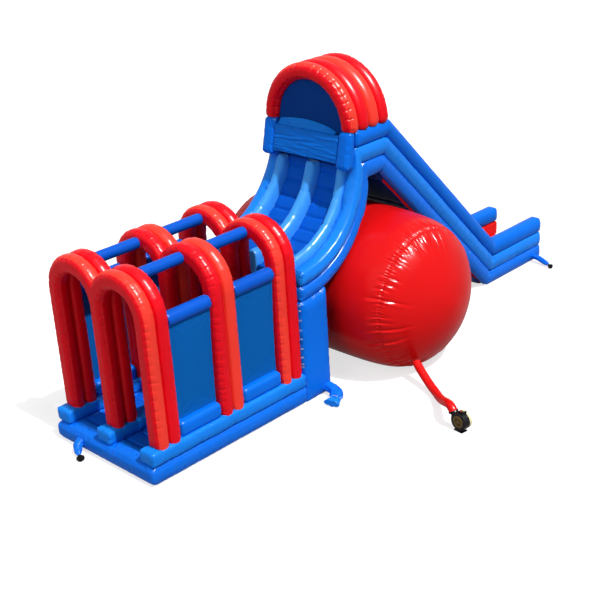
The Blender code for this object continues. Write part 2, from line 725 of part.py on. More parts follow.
def build_tower_front():
    """Posts under the canopy's front feet and the padded banner hung between them."""
    post_top = DECK_LEVELS[3]
    for side in (-1, 1):
        outer = side * POST_OUTER_Y
        outline = ((POST_TOP_FRONT_X, outer, post_top), (POST_LOW_FRONT_X, outer, POST_LOW_Z + 0.05),
                   (POST_LOW_FRONT_X + 0.05, outer, POST_LOW_Z), (POST_LOW_BACK_X, outer, POST_LOW_Z),
                   (POST_TOP_BACK_X, outer, post_top))
        bm = extrude_outline(outline, Vector((0, -side * POST_WIDTH, 0)))
        bmesh.ops.recalc_face_normals(bm, faces=bm.faces)
        bevel_rims(bm, 1, 0.04)
        add_object("tower_post_" + side_word(side), bm, "vinyl_blue")

    lean = (POST_TOP_FRONT_X - POST_LOW_FRONT_X) / (post_top - POST_LOW_Z)
    half = POST_OUTER_Y - POST_WIDTH - SEAM
    corners = []
    for height in (BANNER_LOW_Z, BANNER_TOP_Z):
        front = POST_LOW_FRONT_X + lean * (height - POST_LOW_Z) + BANNER_SETBACK
        corners.append((front, height))
        corners.append((front + BANNER_THICKNESS, height))
    outline = [(x, -half, z) for x, z in (corners[0], corners[1], corners[3], corners[2])]
    bm = extrude_outline(outline, Vector((0, 2 * half, 0)))
    long_edges = [edge for edge in bm.edges if abs(edge.verts[0].co.y - edge.verts[1].co.y) > half]
    bmesh.ops.bevel(bm, geom=long_edges, offset=BANNER_EDGE, segments=2, profile=0.5, affect="EDGES")
    add_object("banner", bm, "vinyl_blue")


def half_ring_outline(x, outer, inner, foot, steps):
    """A round arch that stands on two straight feet, in the plane at x."""
    spring = foot + CANOPY_FOOT
    points = [(x, outer, foot)]
    for radius, start, stop in ((outer, 0.0, math.pi), (inner, math.pi, 0.0)):
        for k in range(steps + 1):
            angle = mix(start, stop, k / steps)
            points.append((x, radius * math.cos(angle), spring + radius * math.sin(angle)))
        if radius == outer:
            points += [(x, -outer, foot), (x, -inner, foot)]
    points.append((x, inner, foot))
    return points


def build_canopy():
    """Four arch tubes in two reds stand on the posts and upper wall tubes; a navy sheet closes the front."""
    foot = DECK_LEVELS[3] + SEAM
    inner = CANOPY_OUTER_RADIUS - CANOPY_TUBE_WIDTH
    pitch = CANOPY_LENGTH / CANOPY_TUBES
    for index in range(CANOPY_TUBES):
        x = CANOPY_START_X + pitch * index
        outline = half_ring_outline(x, CANOPY_OUTER_RADIUS, inner, foot, CANOPY_ARC_STEPS)
        bm = extrude_outline(outline, Vector((pitch - SEAM, 0, 0)))
        bmesh.ops.recalc_face_normals(bm, faces=bm.faces)
        bevel_rims(bm, 0, CANOPY_BEVEL)
        colour = "vinyl_coral" if index % 2 == 0 else "vinyl_crimson"
        add_object("canopy_tube_{}".format(index + 1), bm, colour)

    reach = inner - SEAM
    outline = [(BACK_PANEL_X, reach, BACK_PANEL_LOW_Z), (BACK_PANEL_X, reach, foot)]
    for k in range(CANOPY_ARC_STEPS + 1):
        angle = math.pi * k / CANOPY_ARC_STEPS
        outline.append((BACK_PANEL_X, reach * math.cos(angle), foot + CANOPY_FOOT + reach * math.sin(angle)))
    outline += [(BACK_PANEL_X, -reach, foot), (BACK_PANEL_X, -reach, BACK_PANEL_LOW_Z)]
    bm = extrude_outline(outline, Vector((BACK_PANEL_THICKNESS, 0, 0)))
    add_object("canopy_back_panel", bm, "vinyl_navy")


def drum_form(grow=0.0):
    """The air drum: a body with two puffed caps, settled flat on the ground."""
    profile = [(-place, radius) for place, radius in reversed(DRUM_PROFILE[1:])] + list(DRUM_PROFILE)
    grown = []
    for place, radius in profile:
        share = place / DRUM_PROFILE[-1][0]
        grown.append((place + grow * share, radius + grow if radius > 0 else 0.0))
    bm = lathe(grown, DRUM_SIDES)
    for vert in bm.verts:
        vert.co.z = max(vert.co.z, -DRUM_AXIS_Z)
    return bm


def build_drum():
    drum = add_object("drum", drum_form(), "vinyl_red", smooth_angle=60)
    drum.location = (DRUM_X, 0.0, DRUM_AXIS_Z)


def catmull(points, steps):
    """Points along a smooth curve through the route's own points."""
    line = [Vector(point) for point in points]
    line = [2 * line[0] - line[1]] + line + [2 * line[-1] - line[-2]]
    spans = len(line) - 3
    smooth = []
    for step in range(steps + 1):
        place = spans * step / steps
        index = min(int(place), spans - 1)
        t = place - index
        a, b, c, d = line[index:index + 4]
        smooth.append(0.5 * (2 * b + (c - a) * t + (2 * a - 5 * b + 4 * c - d) * t * t
                             + (3 * b - a - 3 * c + d) * t ** 3))
    return smooth


def build_duct():
    """A round fabric duct from the blower's nozzle to the drum's near cap."""
    nozzle = blower_point(nozzle_point(NOZZLE_REACH + SEAM))
    ahead = blower_point(nozzle_point(NOZZLE_REACH + 0.6 * DUCT_RADIUS))
    points = catmull([nozzle, ahead, *DUCT_ROUTE], DUCT_STEPS)
    rings = []
    for index, centre in enumerate(points):
        before = points[max(index - 1, 0)]
        after = points[min(index + 1, len(points) - 1)]
        along = (ahead - nozzle if index == 0 else after - before).normalized()
        across = along.cross(Vector((0, 0, 1))).normalized()
        up = across.cross(along)
        rings.append([centre + (across * math.cos(angle) + up * math.sin(angle)) * DUCT_RADIUS
                      for angle in (2 * math.pi * k / DUCT_SIDES for k in range(DUCT_SIDES))])
    duct = add_object("drum_duct", loft(rings), "vinyl_red")
    clearance = add_cutter("drum_clearance", drum_form(SEAM))
    clearance.location = (DRUM_X, 0.0, DRUM_AXIS_Z)
    boolean(duct, "DIFFERENCE", clearance)


def build_sleeve(name, stops, push, colour="vinyl_blue"):
    """A short tied-off sleeve that droops to the ground; push moves its start off its seat."""
    path = [(Vector(place), half_width, half_height) for place, half_width, half_height in stops]
    path[0] = (path[0][0] + Vector(push), *path[0][1:])
    rings = []
    for index, (centre, half_width, half_height) in enumerate(path):
        before = path[max(index - 1, 0)][0]
        after = path[min(index + 1, len(path) - 1)][0]
        along = Vector((after.x - before.x, after.y - before.y, 0.0)).normalized()
        if index == 0:
            along = Vector(push).normalized()
        across = Vector((-along.y, along.x, 0.0))
        rings.append([centre + across * half_width * math.cos(angle)
                      + Vector((0, 0, half_height * math.sin(angle)))
                      for angle in (2 * math.pi * k / SLEEVE_SIDES for k in range(SLEEVE_SIDES))])
    return add_object(name, loft(rings), colour)


def build_sleeves():
    bulge = KERB_OVERHANG
    build_sleeve("entrance_sleeve", ENTRANCE_SLEEVE, (-bulge - SEAM, 0, 0))
    build_sleeve("block_sleeve", BLOCK_SLEEVE, (0, -SEAM, 0))
    build_sleeve("runout_sleeve", RUNOUT_SLEEVE, (0, -0.0042 - SEAM, 0))


def nozzle_point(reach):
    """A point on the nozzle's own axis, which rises beside the scroll, in the blower's frame."""
    rise = math.sin(NOZZLE_RISE)
    run = math.cos(NOZZLE_RISE)
    return Vector((0.0, NOZZLE_OFFSET * rise + reach * run, SCROLL_AXIS_Z - NOZZLE_OFFSET * run + reach * rise))


def nozzle_form(start, stop, radius):
    """A round solid along the nozzle's axis."""
    bm = round_solid((0, start, 0), stop - start, radius, 28, "Y")
    turn = Matrix.Translation(nozzle_point(0.0)) @ Matrix.Rotation(NOZZLE_RISE, 4, "X")
    bmesh.ops.transform(bm, matrix=turn, verts=bm.verts)
    return bm


def blower_point(local):
    """A point of the blower's own frame, in the course's frame."""
    turned = Matrix.Rotation(BLOWER_YAW, 3, "Z") @ Vector(local)
    return turned + Vector((BLOWER_X, BLOWER_Y, 0.0))


def round_solid(start, length, radius, sides=32, axis="X"):
    """A plain cylinder along +X or +Y from a start point."""
    bm = bmesh.new()
    turn = Matrix.Rotation(math.pi / 2, 4, "Y" if axis == "X" else "X")
    middle = Vector(start) + Vector((length / 2, 0, 0) if axis == "X" else (0, length / 2, 0))
    bmesh.ops.create_cone(bm, cap_ends=True, segments=sides, radius1=radius, radius2=radius, depth=length,
                          matrix=Matrix.Translation(middle) @ turn)
    return bm


def build_blower():
    frame = bpy.data.objects.new("blower_frame", None)
    bpy.context.scene.collection.objects.link(frame)
    frame.parent = COURSE
    frame.location = (BLOWER_X, BLOWER_Y, 0.0)
    frame.rotation_euler = (0.0, 0.0, BLOWER_YAW)
    half = SCROLL_WIDTH / 2
    axis_z = SCROLL_AXIS_Z

    shell = round_solid((-half, 0, axis_z), SCROLL_WIDTH, SCROLL_RADIUS, 40)
    housing = add_object("blower_housing", shell, "blower_black", frame)
    box_low = axis_z + SCROLL_RADIUS * 0.93
    box_top = axis_z + SCROLL_RADIUS + SWITCH_BOX[2] * 0.6
    handle_low = axis_z + SCROLL_RADIUS * 0.75
    handle_top = axis_z + SCROLL_RADIUS + HANDLE_HEIGHT
    post_x = (HANDLE_SPAN - HANDLE_BAR) / 2
    bar = HANDLE_BAR / 2
    blocks = {
        "foot_form": ((-FOOT_WIDTH / 2, -FOOT_LENGTH / 2, 0), (FOOT_WIDTH / 2, FOOT_LENGTH / 2, FOOT_THICKNESS)),
        "saddle_form": ((-half * 0.8, -FOOT_LENGTH * 0.32, FOOT_THICKNESS * 0.5),
                        (half * 0.8, FOOT_LENGTH * 0.32, axis_z * 0.45)),
        "switch_box_form": ((-SWITCH_BOX[0] / 2, SWITCH_Y - SWITCH_BOX[1] / 2, box_low),
                            (SWITCH_BOX[0] / 2, SWITCH_Y + SWITCH_BOX[1] / 2, box_top)),
        "handle_inlet_post": ((-post_x - bar, HANDLE_Y - bar, handle_low),
                              (-post_x + bar, HANDLE_Y + bar, handle_top - bar)),
        "handle_motor_post": ((post_x - bar, HANDLE_Y - bar, handle_low),
                              (post_x + bar, HANDLE_Y + bar, handle_top - bar)),
        "handle_grip": ((-HANDLE_SPAN / 2, HANDLE_Y - bar, handle_top - HANDLE_BAR),
                        (HANDLE_SPAN / 2, HANDLE_Y + bar, handle_top)),
    }
    nozzle = nozzle_form(0.0, NOZZLE_REACH, NOZZLE_RADIUS)
    boolean(housing, "UNION", add_cutter("nozzle_form", nozzle, frame))
    for name, (low, high) in blocks.items():
        form = bmesh.new()
        add_box(form, low, high)
        boolean(housing, "UNION", add_cutter(name, form, frame))

    pivot_z = box_top
    well = bmesh.new()
    well_x = ROCKER_SIZE[0] / 2 + ROCKER_SIDE_CLEARANCE
    well_y = ROCKER_SIZE[1] / 2 + ROCKER_END_CLEARANCE
    add_box(well, (-well_x, SWITCH_Y - well_y, box_top - ROCKER_SIZE[2]),
            (well_x, SWITCH_Y + well_y, box_top + ROCKER_SIZE[2]))
    inside = half - SCROLL_WALL
    cuts = {
        "scroll_cavity": round_solid((-inside, 0, axis_z), 2 * inside, SCROLL_RADIUS - SCROLL_WALL, 40),
        "inlet_hole": round_solid((-half - 0.02, 0, axis_z), half, INLET_RADIUS, 32),
        "shaft_hole": round_solid((0, 0, axis_z), half + 0.02, SHAFT_HOLE_RADIUS, 16),
        "nozzle_bore": nozzle_form(0.0, NOZZLE_REACH + 0.02, NOZZLE_RADIUS - NOZZLE_WALL),
        "rocker_well": well,
    }
    for name, form in cuts.items():
        boolean(housing, "DIFFERENCE", add_cutter(name, form, frame))

    build_impeller(frame, inside)
    build_motor(frame, half)
    build_guard(frame, half)
    build_rocker(frame, pivot_z)


def build_impeller(frame, inside):
    """A paddle wheel with swept blades and a back plate, bored for the motor's shaft."""
    start = -IMPELLER_WIDTH / 2
    outline = []
    for blade in range(IMPELLER_BLADES):
        base = 2 * math.pi * blade / IMPELLER_BLADES
        half_root = BLADE_THICKNESS / 2 / HUB_RADIUS
        half_tip = BLADE_THICKNESS / 2 / IMPELLER_RADIUS
        middle = (HUB_RADIUS + IMPELLER_RADIUS) / 2
        for radius, turn in ((HUB_RADIUS, -half_root), (middle, 0.22 - half_tip * 1.7),
                             (IMPELLER_RADIUS, 0.30 - half_tip), (IMPELLER_RADIUS, 0.30 + half_tip),
                             (middle, 0.22 + half_tip * 1.7), (HUB_RADIUS, half_root)):
            outline.append((start, radius * math.cos(base + turn), radius * math.sin(base + turn)))
    wheel = extrude_outline(outline, Vector((IMPELLER_WIDTH, 0, 0)))
    impeller = add_object("blower_impeller", wheel, "motor_grey", frame)
    impeller.location = (0.0, 0.0, SCROLL_AXIS_Z)
    plate = add_cutter("back_plate_form", round_solid((IMPELLER_WIDTH / 2 - BACK_PLATE / 2, 0, 0), BACK_PLATE,
                                                      IMPELLER_RADIUS + 0.004, 32), frame)
    plate.location = impeller.location
    boolean(impeller, "UNION", plate)
    bore = add_cutter("impeller_bore", round_solid((start * 0.4, 0, 0), IMPELLER_WIDTH + 0.02,
                                                   SHAFT_RADIUS + RUNNING_GAP, 24), frame)
    bore.location = impeller.location
    boolean(impeller, "DIFFERENCE", bore)


def build_motor(frame, half):
    """The motor on the back of the scroll; its shaft carries the impeller."""
    can = round_solid((half + SEAM, 0, SCROLL_AXIS_Z), MOTOR_LENGTH, MOTOR_RADIUS, 32)
    rear = [edge for edge in can.edges if all(vert.co.x > half + MOTOR_LENGTH * 0.9 for vert in edge.verts)]
    bmesh.ops.bevel(can, geom=rear, offset=0.02, segments=3, profile=0.5, affect="EDGES")
    motor = add_object("blower_motor", can, "motor_grey", frame)
    shaft = round_solid((0.0, 0, SCROLL_AXIS_Z), half + 0.02, SHAFT_RADIUS, 24)
    boolean(motor, "UNION", add_cutter("shaft_form", shaft, frame))


def build_guard(frame, half):
    """Two wire rings, a hub disc and four spokes over the inlet."""
    x = -half - SEAM - GUARD_DEPTH
    hub = add_object("inlet_guard", round_solid((x, 0, SCROLL_AXIS_Z), GUARD_DEPTH, 0.040, 24),
                     "blower_gold", frame)
    for index, radius in enumerate((GUARD_RADIUS, 0.088)):
        ring = add_cutter("guard_ring_{}".format(index + 1),
                          round_solid((x, 0, SCROLL_AXIS_Z), GUARD_DEPTH, radius, 32), frame)
        hole = add_cutter("guard_ring_hole_{}".format(index + 1),
                          round_solid((x - 0.01, 0, SCROLL_AXIS_Z), GUARD_DEPTH + 0.02, radius - 0.018, 32), frame)
        boolean(ring, "DIFFERENCE", hole)
        boolean(hub, "UNION", ring)
    for index in range(2):
        bar = bmesh.new()
        long = GUARD_RADIUS - 0.006
        size = (long, GUARD_BAR / 2) if index == 0 else (GUARD_BAR / 2, long)
        add_box(bar, (x + 0.002, -size[0], SCROLL_AXIS_Z - size[1]),
                (x + GUARD_DEPTH - 0.002, size[0], SCROLL_AXIS_Z + size[1]))
        boolean(hub, "UNION", add_cutter("guard_spoke_{}".format(index + 1), bar, frame))


def build_rocker(frame, pivot_z):
    """The on-off rocker, which tips about its own middle."""
    length = ROCKER_SIZE[1] / 2
    drop = ROCKER_SIZE[2] * 0.55
    outline = ((0, -length, 0.001), (0, -length * 0.55, -drop), (0, length * 0.55, -drop), (0, length, 0.001),
               (0, length, 0.006), (0, 0, 0.003), (0, -length, 0.006))
    shifted = [(-ROCKER_SIZE[0] / 2, y, z) for _, y, z in outline]
    rocker = add_object("switch_rocker", extrude_outline(shifted, Vector((ROCKER_SIZE[0], 0, 0))),
                        "vinyl_red", frame)
    rocker.location = (0.0, SWITCH_Y, pivot_z)


clear_scene()
COURSE = bpy.data.objects.new("course_frame", None)
bpy.context.scene.collection.objects.link(COURSE)
COURSE.location = (-ORIGIN_X, 0.0, 0.0)
build_base()
build_arches()
build_bays()
build_block()
build_walls()
build_lanes()
build_slide()
build_tower_front()
build_canopy()
build_drum()
build_blower()
build_duct()
build_sleeves()
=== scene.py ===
import json
import math

import bmesh
import bpy
import numpy as np
from mathutils import Matrix, Vector, kdtree, noise


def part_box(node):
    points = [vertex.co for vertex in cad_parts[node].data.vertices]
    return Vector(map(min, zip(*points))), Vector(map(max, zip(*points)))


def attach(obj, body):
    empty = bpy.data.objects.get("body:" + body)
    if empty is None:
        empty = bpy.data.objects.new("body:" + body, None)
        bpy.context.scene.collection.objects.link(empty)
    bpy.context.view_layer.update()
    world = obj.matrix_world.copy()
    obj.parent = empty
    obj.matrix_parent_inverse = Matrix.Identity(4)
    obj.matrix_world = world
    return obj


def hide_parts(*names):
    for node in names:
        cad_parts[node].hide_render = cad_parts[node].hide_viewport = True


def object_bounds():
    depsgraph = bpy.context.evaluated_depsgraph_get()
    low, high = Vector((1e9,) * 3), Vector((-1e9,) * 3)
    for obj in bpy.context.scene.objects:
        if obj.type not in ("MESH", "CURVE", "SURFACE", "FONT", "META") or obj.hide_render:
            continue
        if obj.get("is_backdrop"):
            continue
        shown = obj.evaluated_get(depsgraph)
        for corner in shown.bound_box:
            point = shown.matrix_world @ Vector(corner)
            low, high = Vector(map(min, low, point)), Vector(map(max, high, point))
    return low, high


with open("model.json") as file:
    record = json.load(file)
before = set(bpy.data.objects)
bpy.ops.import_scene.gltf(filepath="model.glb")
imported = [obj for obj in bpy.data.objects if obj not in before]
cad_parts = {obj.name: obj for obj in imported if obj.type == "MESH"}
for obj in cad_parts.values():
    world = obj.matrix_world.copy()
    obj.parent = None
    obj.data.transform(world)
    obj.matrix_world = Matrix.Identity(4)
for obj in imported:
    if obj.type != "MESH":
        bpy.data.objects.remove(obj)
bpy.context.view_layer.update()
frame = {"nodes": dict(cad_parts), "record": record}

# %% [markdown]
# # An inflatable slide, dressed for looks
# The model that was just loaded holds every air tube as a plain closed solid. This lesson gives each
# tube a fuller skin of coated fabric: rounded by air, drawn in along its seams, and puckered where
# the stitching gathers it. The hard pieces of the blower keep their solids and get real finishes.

nodes = frame["nodes"]

# %% [markdown]
# ## Camera
# The photograph was taken from a roof or a mast, looking down at the front corner. Six numbers
# describe such a camera: where it stands, and how it is turned, pitched and rolled. The lens
# follows from how wide its picture is.

# %% Place the camera
TUNNEL_MIDDLE_X = 2.44985
CAMERA_PLACE = Vector((-12.171 - TUNNEL_MIDDLE_X, -18.491, 13.080))
CAMERA_TURN = math.radians(45.467)
CAMERA_PITCH = math.radians(-23.937)
CAMERA_ROLL = math.radians(-3.618)
FOCAL_PIXELS = 1192.207
PICTURE_PIXELS = 600

look = Vector((math.cos(CAMERA_PITCH) * math.cos(CAMERA_TURN),
               math.cos(CAMERA_PITCH) * math.sin(CAMERA_TURN), math.sin(CAMERA_PITCH)))
level_right = Vector((math.sin(CAMERA_TURN), -math.cos(CAMERA_TURN), 0.0))
level_up = level_right.cross(look)
right = math.cos(CAMERA_ROLL) * level_right + math.sin(CAMERA_ROLL) * level_up
up = -math.sin(CAMERA_ROLL) * level_right + math.cos(CAMERA_ROLL) * level_up

bpy.ops.object.camera_add()
camera = bpy.context.object
camera.name = "view_camera"
camera.data.sensor_width = 36.0
camera.data.sensor_fit = "HORIZONTAL"
camera.data.lens = FOCAL_PIXELS * 36.0 / PICTURE_PIXELS
camera.data.clip_end = 400.0
turned = Matrix((right, up, -look)).transposed()
camera.matrix_world = Matrix.Translation(CAMERA_PLACE) @ turned.to_4x4()
bpy.context.scene.camera = camera
print("lens", round(camera.data.lens, 2), "mm")

# %% [markdown]
# ## Shader maths
# A finish is easier to read as a sum than as a web of nodes. This class wraps the output of one
# node, so that plus and times each add the Math node that does the same.


# %% One class for shader values
class Shade:
    """The output of a shader node, which can be added and multiplied."""

    def __init__(self, tree, socket):
        self.tree = tree
        self.socket = socket

    def add(self, kind, output=0, settings=None, **sockets):
        """Add a node, give it its settings, then its values or links, and return one of its outputs."""
        made = self.tree.nodes.new(kind)
        for name, value in (settings or {}).items():
            setattr(made, name, value)
        feed(made, {int(name[1:]) if name[1:].isdigit() else name: value for name, value in sockets.items()})
        return Shade(self.tree, made.outputs[output])

    def math(self, operation, first, second=0.0):
        return self.add("ShaderNodeMath", 0, {"operation": operation}, _0=first, _1=second)

    def __add__(self, other):
        return self.math("ADD", self, other)

    def __mul__(self, other):
        return self.math("MULTIPLY", self, other)

    def sin(self):
        return self.math("SINE", self)

    def clamp(self, low, high, start=0.0, end=1.0):
        """Where this value lies between low and high, as start to end."""
        return self.add("ShaderNodeMapRange", 0, {"clamp": True}, _0=self, _1=low, _2=high, _3=start, _4=end)

    def blend(self, first, second):
        """A colour between two others, this value being the share of the second."""
        return self.add("ShaderNodeMix", 2, {"data_type": "RGBA"}, _0=self, _6=first, _7=second)

    def cloudy(self, scale, detail):
        """Soft irregular clouds at these coordinates, smaller where the scale is larger."""
        return self.add("ShaderNodeTexNoise", Vector=self, Scale=scale, Detail=detail)

    def bump(self, strength, distance):
        """The way the surface faces once this height has been pressed into it."""
        return self.add("ShaderNodeBump", Strength=strength, Distance=distance, Height=self)

    def ray(self, kind):
        """1 for rays of this kind and 0 for others."""
        return self.add("ShaderNodeLightPath", kind)

    def shown(self):
        """1 for what the camera or gloss sees, and 0 for the light that things throw on each other."""
        return self.math("MAXIMUM", self.ray("Is Camera Ray"), self.ray("Is Glossy Ray"))


def rgba(colour, share=1.0):
    return (colour[0] * share, colour[1] * share, colour[2] * share, 1.0)


def start_material(name):
    """A new material, its shader, and the Shade of its Object coordinates."""
    material = bpy.data.materials.new(name)
    material.use_nodes = True
    tree = material.node_tree
    return material, tree.nodes["Principled BSDF"], Shade(tree, None).add("ShaderNodeTexCoord", "Object")


def feed(node, values):
    """Give the inputs of a node their values, or links from Shades."""
    for name, value in values.items():
        if isinstance(value, Shade):
            value.tree.links.new(value.socket, node.inputs[name])
        else:
            node.inputs[name].default_value = value


# %% [markdown]
# ## Coated fabric
# The skin is polyester cloth under a glossy plastic coat. From afar it is one strong colour with
# soft highlights. Close to, the cloth's threads show faintly through the coat, broad areas have
# faded by a few percent, and the lowest part is dusty.

# %% A recipe for coated fabric
DUST = (0.34, 0.32, 0.28, 1.0)
DUST_HEIGHT = 0.8
THREAD_TURNS = 1570.0


def coated_fabric(name, colour, roughness=0.33, coat=0.12, coat_roughness=0.26, weave=0.00025, fade=0.05,
                  front=None, front_x=0.0, outer_only=False):
    """Cloth of one colour, or of another one before a plane across X and on its inner side."""
    material, shader, place = start_material(name)
    broad = place.cloudy(0.55, 2.0)
    mottle = place.cloudy(7.0, 4.0)
    across, along, height = (place.add("ShaderNodeSeparateXYZ", index, Vector=place) for index in range(3))
    dust = height.clamp(0.0, DUST_HEIGHT, 1.0, 0.0) * mottle.clamp(0.35, 0.75)
    patches = broad.clamp(0.3, 0.7)
    tone = patches.blend(rgba(colour, 1.0 - fade), rgba(colour, 1.0 + fade))
    if front:
        behind = across.clamp(front_x - 0.002, front_x + 0.002)
        if outer_only:
            side = place.add("ShaderNodeAttribute", "Fac", {"attribute_name": "outer"})
            behind = behind * side.clamp(0.48, 0.52)
        face = patches.blend(rgba(front, 1.0 - fade), rgba(front, 1.0 + fade))
        tone = behind.blend(face, tone)
    threads = (across * THREAD_TURNS).sin() + (along * THREAD_TURNS).sin() + (height * THREAD_TURNS).sin()
    feed(shader, {"Base Color": (dust * 0.04).blend(tone, DUST),
                  "Roughness": mottle * 0.10 + (roughness - 0.05) + dust * 0.12,
                  "Specular IOR Level": 0.03, "Coat Weight": coat, "Coat Roughness": coat_roughness,
                  "Normal": (threads * 0.33 + mottle * 2.0).bump(0.35, weave)})
    return material


BLUE = (0.001, 0.160, 0.800)
SKY = (0.006, 0.225, 0.880)
PALE = (0.045, 0.330, 0.890)
DEEP = (0.001, 0.095, 0.560)
# Navy: partly the cloth's own dark blue and partly painted shade, as dark as the cloth looks in shadow under
# the canopy and the deck.
NAVY_WITH_PAINTED_SHADE = (0.002, 0.044, 0.250)
PANEL = (0.001, 0.120, 0.460)
RED = (0.800, 0.006, 0.006)
CRIMSON = (0.800, 0.001, 0.010)
CORAL = (0.940, 0.045, 0.028)

fabrics = {
    "vinyl_blue": coated_fabric("fabric_blue", BLUE),
    "vinyl_sky": coated_fabric("fabric_sky", SKY),
    "vinyl_deep": coated_fabric("fabric_deep", DEEP, roughness=0.38, coat=0.04),
    "vinyl_navy": coated_fabric("fabric_navy_with_painted_shade", NAVY_WITH_PAINTED_SHADE, roughness=0.45, coat=0.02),
    "panel_blue": coated_fabric("panel_cloth", PANEL, roughness=0.62, coat=0.0, weave=0.0006),
    "vinyl_red": coated_fabric("fabric_red", RED),
    "vinyl_crimson": coated_fabric("fabric_crimson", CRIMSON, coat=0.24, coat_roughness=0.30),
    "vinyl_coral": coated_fabric("fabric_coral", CORAL, coat=0.26, coat_roughness=0.32),
}
print(len(fabrics), "fabrics")

# %% [markdown]
# ## From a solid to an inflated skin
# An inflated tube is flat nowhere. Its panels are crowned by the air, and they meet in seams that
# stay behind, because the stitching is shorter than the cloth beside it. Modelling each by hand
# would take weeks, so one routine does to every solid what air and thread do to cloth: it remeshes
# the solid into even squares, relaxes them, and draws the surface in along the seams, more in some
# places than in others, which makes puckers that run square to the seam.


# %% Selecting and copying
def choose(*objects):
    """Select these objects alone and make the last one active."""
    bpy.ops.object.select_all(action="DESELECT")
    for piece in objects:
        piece.select_set(True)
    bpy.context.view_layer.objects.active = objects[-1]


def joined(*pieces):
    """Make one piece of several, which keeps the name of the last."""
    choose(*pieces)
    bpy.ops.object.join()
    return pieces[-1]


def new_piece(name, mesh):
    """A new, chosen piece with this mesh."""
    piece = bpy.data.objects.new(name, mesh)
    bpy.context.scene.collection.objects.link(piece)
    choose(piece)
    return piece


def piece_of_points(name, points, edges, faces):
    mesh = bpy.data.meshes.new(name)
    mesh.from_pydata(points, edges, faces)
    return new_piece(name, mesh)


def edit_all(*steps):
    """Run mesh operators, each given with its settings, on the whole of the chosen piece."""
    bpy.ops.object.mode_set(mode="EDIT")
    bpy.ops.mesh.select_all(action="SELECT")
    for step, settings in steps:
        step(**settings)
    bpy.ops.object.mode_set(mode="OBJECT")


def merged_copy(node, name):
    """A copy of a CAD node as a new piece, its loose triangles merged."""
    piece = new_piece(name, nodes[node].data.copy())
    edit_all((bpy.ops.mesh.remove_doubles, {"threshold": 0.0002}),
             (bpy.ops.mesh.dissolve_limited, {"angle_limit": math.radians(1.0)}))
    piece.data.materials.clear()
    return piece


def ring(radius, thickness, place, rotation, steps=48, sides=8):
    """A round bar bent into a ring."""
    bpy.ops.mesh.primitive_torus_add(major_radius=radius, minor_radius=thickness, major_segments=steps,
                                     minor_segments=sides, location=place, rotation=rotation)
    return bpy.context.object


# %% [markdown]
# ## Where the seams run
# A sewer joins panels where the form turns a corner, and also across long stretches, because cloth
# comes in rolls of limited width. The first kind is found from the angle between two faces. The
# second kind is drawn as with a knife: a plane cuts a copy of the solid, and the cut is the seam.

# %% Finding the seams
SEAM_ANGLE = math.radians(32.0)


def corner_seam(first, second):
    return first.angle(second) > SEAM_ANGLE


def mitre_seam(first, second):
    """True where a tube turns a corner or ends, but not along its own length."""
    ends = max(abs(first.x), abs(second.x)) > 0.95 and first.angle(second) > 1.0
    return ends or (first.angle(second) > 0.3 and abs(first.y - second.y) < 0.06)


def no_seam(first, second):
    return False


def seam_lines(piece, rule, cuts=(), only=None):
    """The (start, end) pairs of a piece's seams: edges that the rule picks, and lines that planes cut."""
    form = bmesh.new()
    form.from_mesh(piece.data)
    form.normal_update()
    pairs = []
    for edge in form.edges:
        if len(edge.link_faces) == 2:
            first, second = (face.normal for face in edge.link_faces)
            if first.length > 0.5 and second.length > 0.5 and rule(first, second):
                pairs.append(tuple(vert.co.copy() for vert in edge.verts))
    for place, normal in cuts:
        made = bmesh.ops.bisect_plane(form, geom=form.verts[:] + form.edges[:] + form.faces[:],
                                      plane_co=place, plane_no=normal, dist=1e-5)
        for element in made["geom_cut"]:
            if isinstance(element, bmesh.types.BMEdge):
                line = tuple(vert.co.copy() for vert in element.verts)
                if only is None or only((line[0] + line[1]) / 2):
                    pairs.append(line)
    form.free()
    return pairs


def tree_of(points):
    """A tree of points, for asking which one is nearest and how far away it is."""
    tree = kdtree.KDTree(len(points))
    for index, point in enumerate(points):
        tree.insert(point, index)
    tree.balance()
    return tree


def along_seams(pairs, spacing):
    """Points along the seams, no farther apart than the spacing or so."""
    points = []
    for start, end in pairs:
        steps = max(1, round((end - start).length / spacing))
        points.extend(start.lerp(end, step / steps) for step in range(steps + 1))
    return points


# %% Reading, writing and rounding all the points at once
EVENING_SHARES = 6 * (0.50, -0.52)
SWELL_SHARE = 0.16


def get_points(mesh, kind="co"):
    flat = np.empty(len(mesh.vertices) * 3)
    mesh.vertices.foreach_get(kind, flat)
    return flat.reshape(-1, 3)


def set_points(mesh, points):
    mesh.vertices.foreach_set("co", points.ravel())
    mesh.update()


def get_normals(mesh):
    return get_points(mesh, "normal")


def neighbour_mean(mesh):
    """A function that gives, for all points at once, the mean of each point's neighbours."""
    ends = np.empty(len(mesh.edges) * 2, dtype=int)
    mesh.edges.foreach_get("vertices", ends)
    first, second = ends.reshape(-1, 2).T
    both = np.concatenate((first, second))
    other = np.concatenate((second, first))
    count = np.bincount(both, minlength=len(mesh.vertices)).clip(min=1)[:, None]
    return lambda points: np.column_stack([np.bincount(both, points[other, axis], len(points))
                                           for axis in range(3)]) / count


def relax(mesh, square, soft):
    """Round a mesh over a length, as air does, then swell it back to its own thickness."""
    mean = neighbour_mean(mesh)
    points = get_points(mesh)
    for share in EVENING_SHARES:
        points += share * (mean(points) - points)
    set_points(mesh, points)
    if soft:
        for round_number in range(max(1, round(4.0 * (soft / square) ** 2))):
            points += 0.5 * (mean(points) - points)
        set_points(mesh, points)
        points = points + get_normals(mesh) * (soft * SWELL_SHARE)
        set_points(mesh, points)


# %% [markdown]
# ## The welt
# Where two panels are sewn, their hems stand up as a thin welt. It is the seam's own line, given a
# round section as a curve, laid on the finished skin and joined to it.

# %% Making the welt
WELT_STEP = 0.06


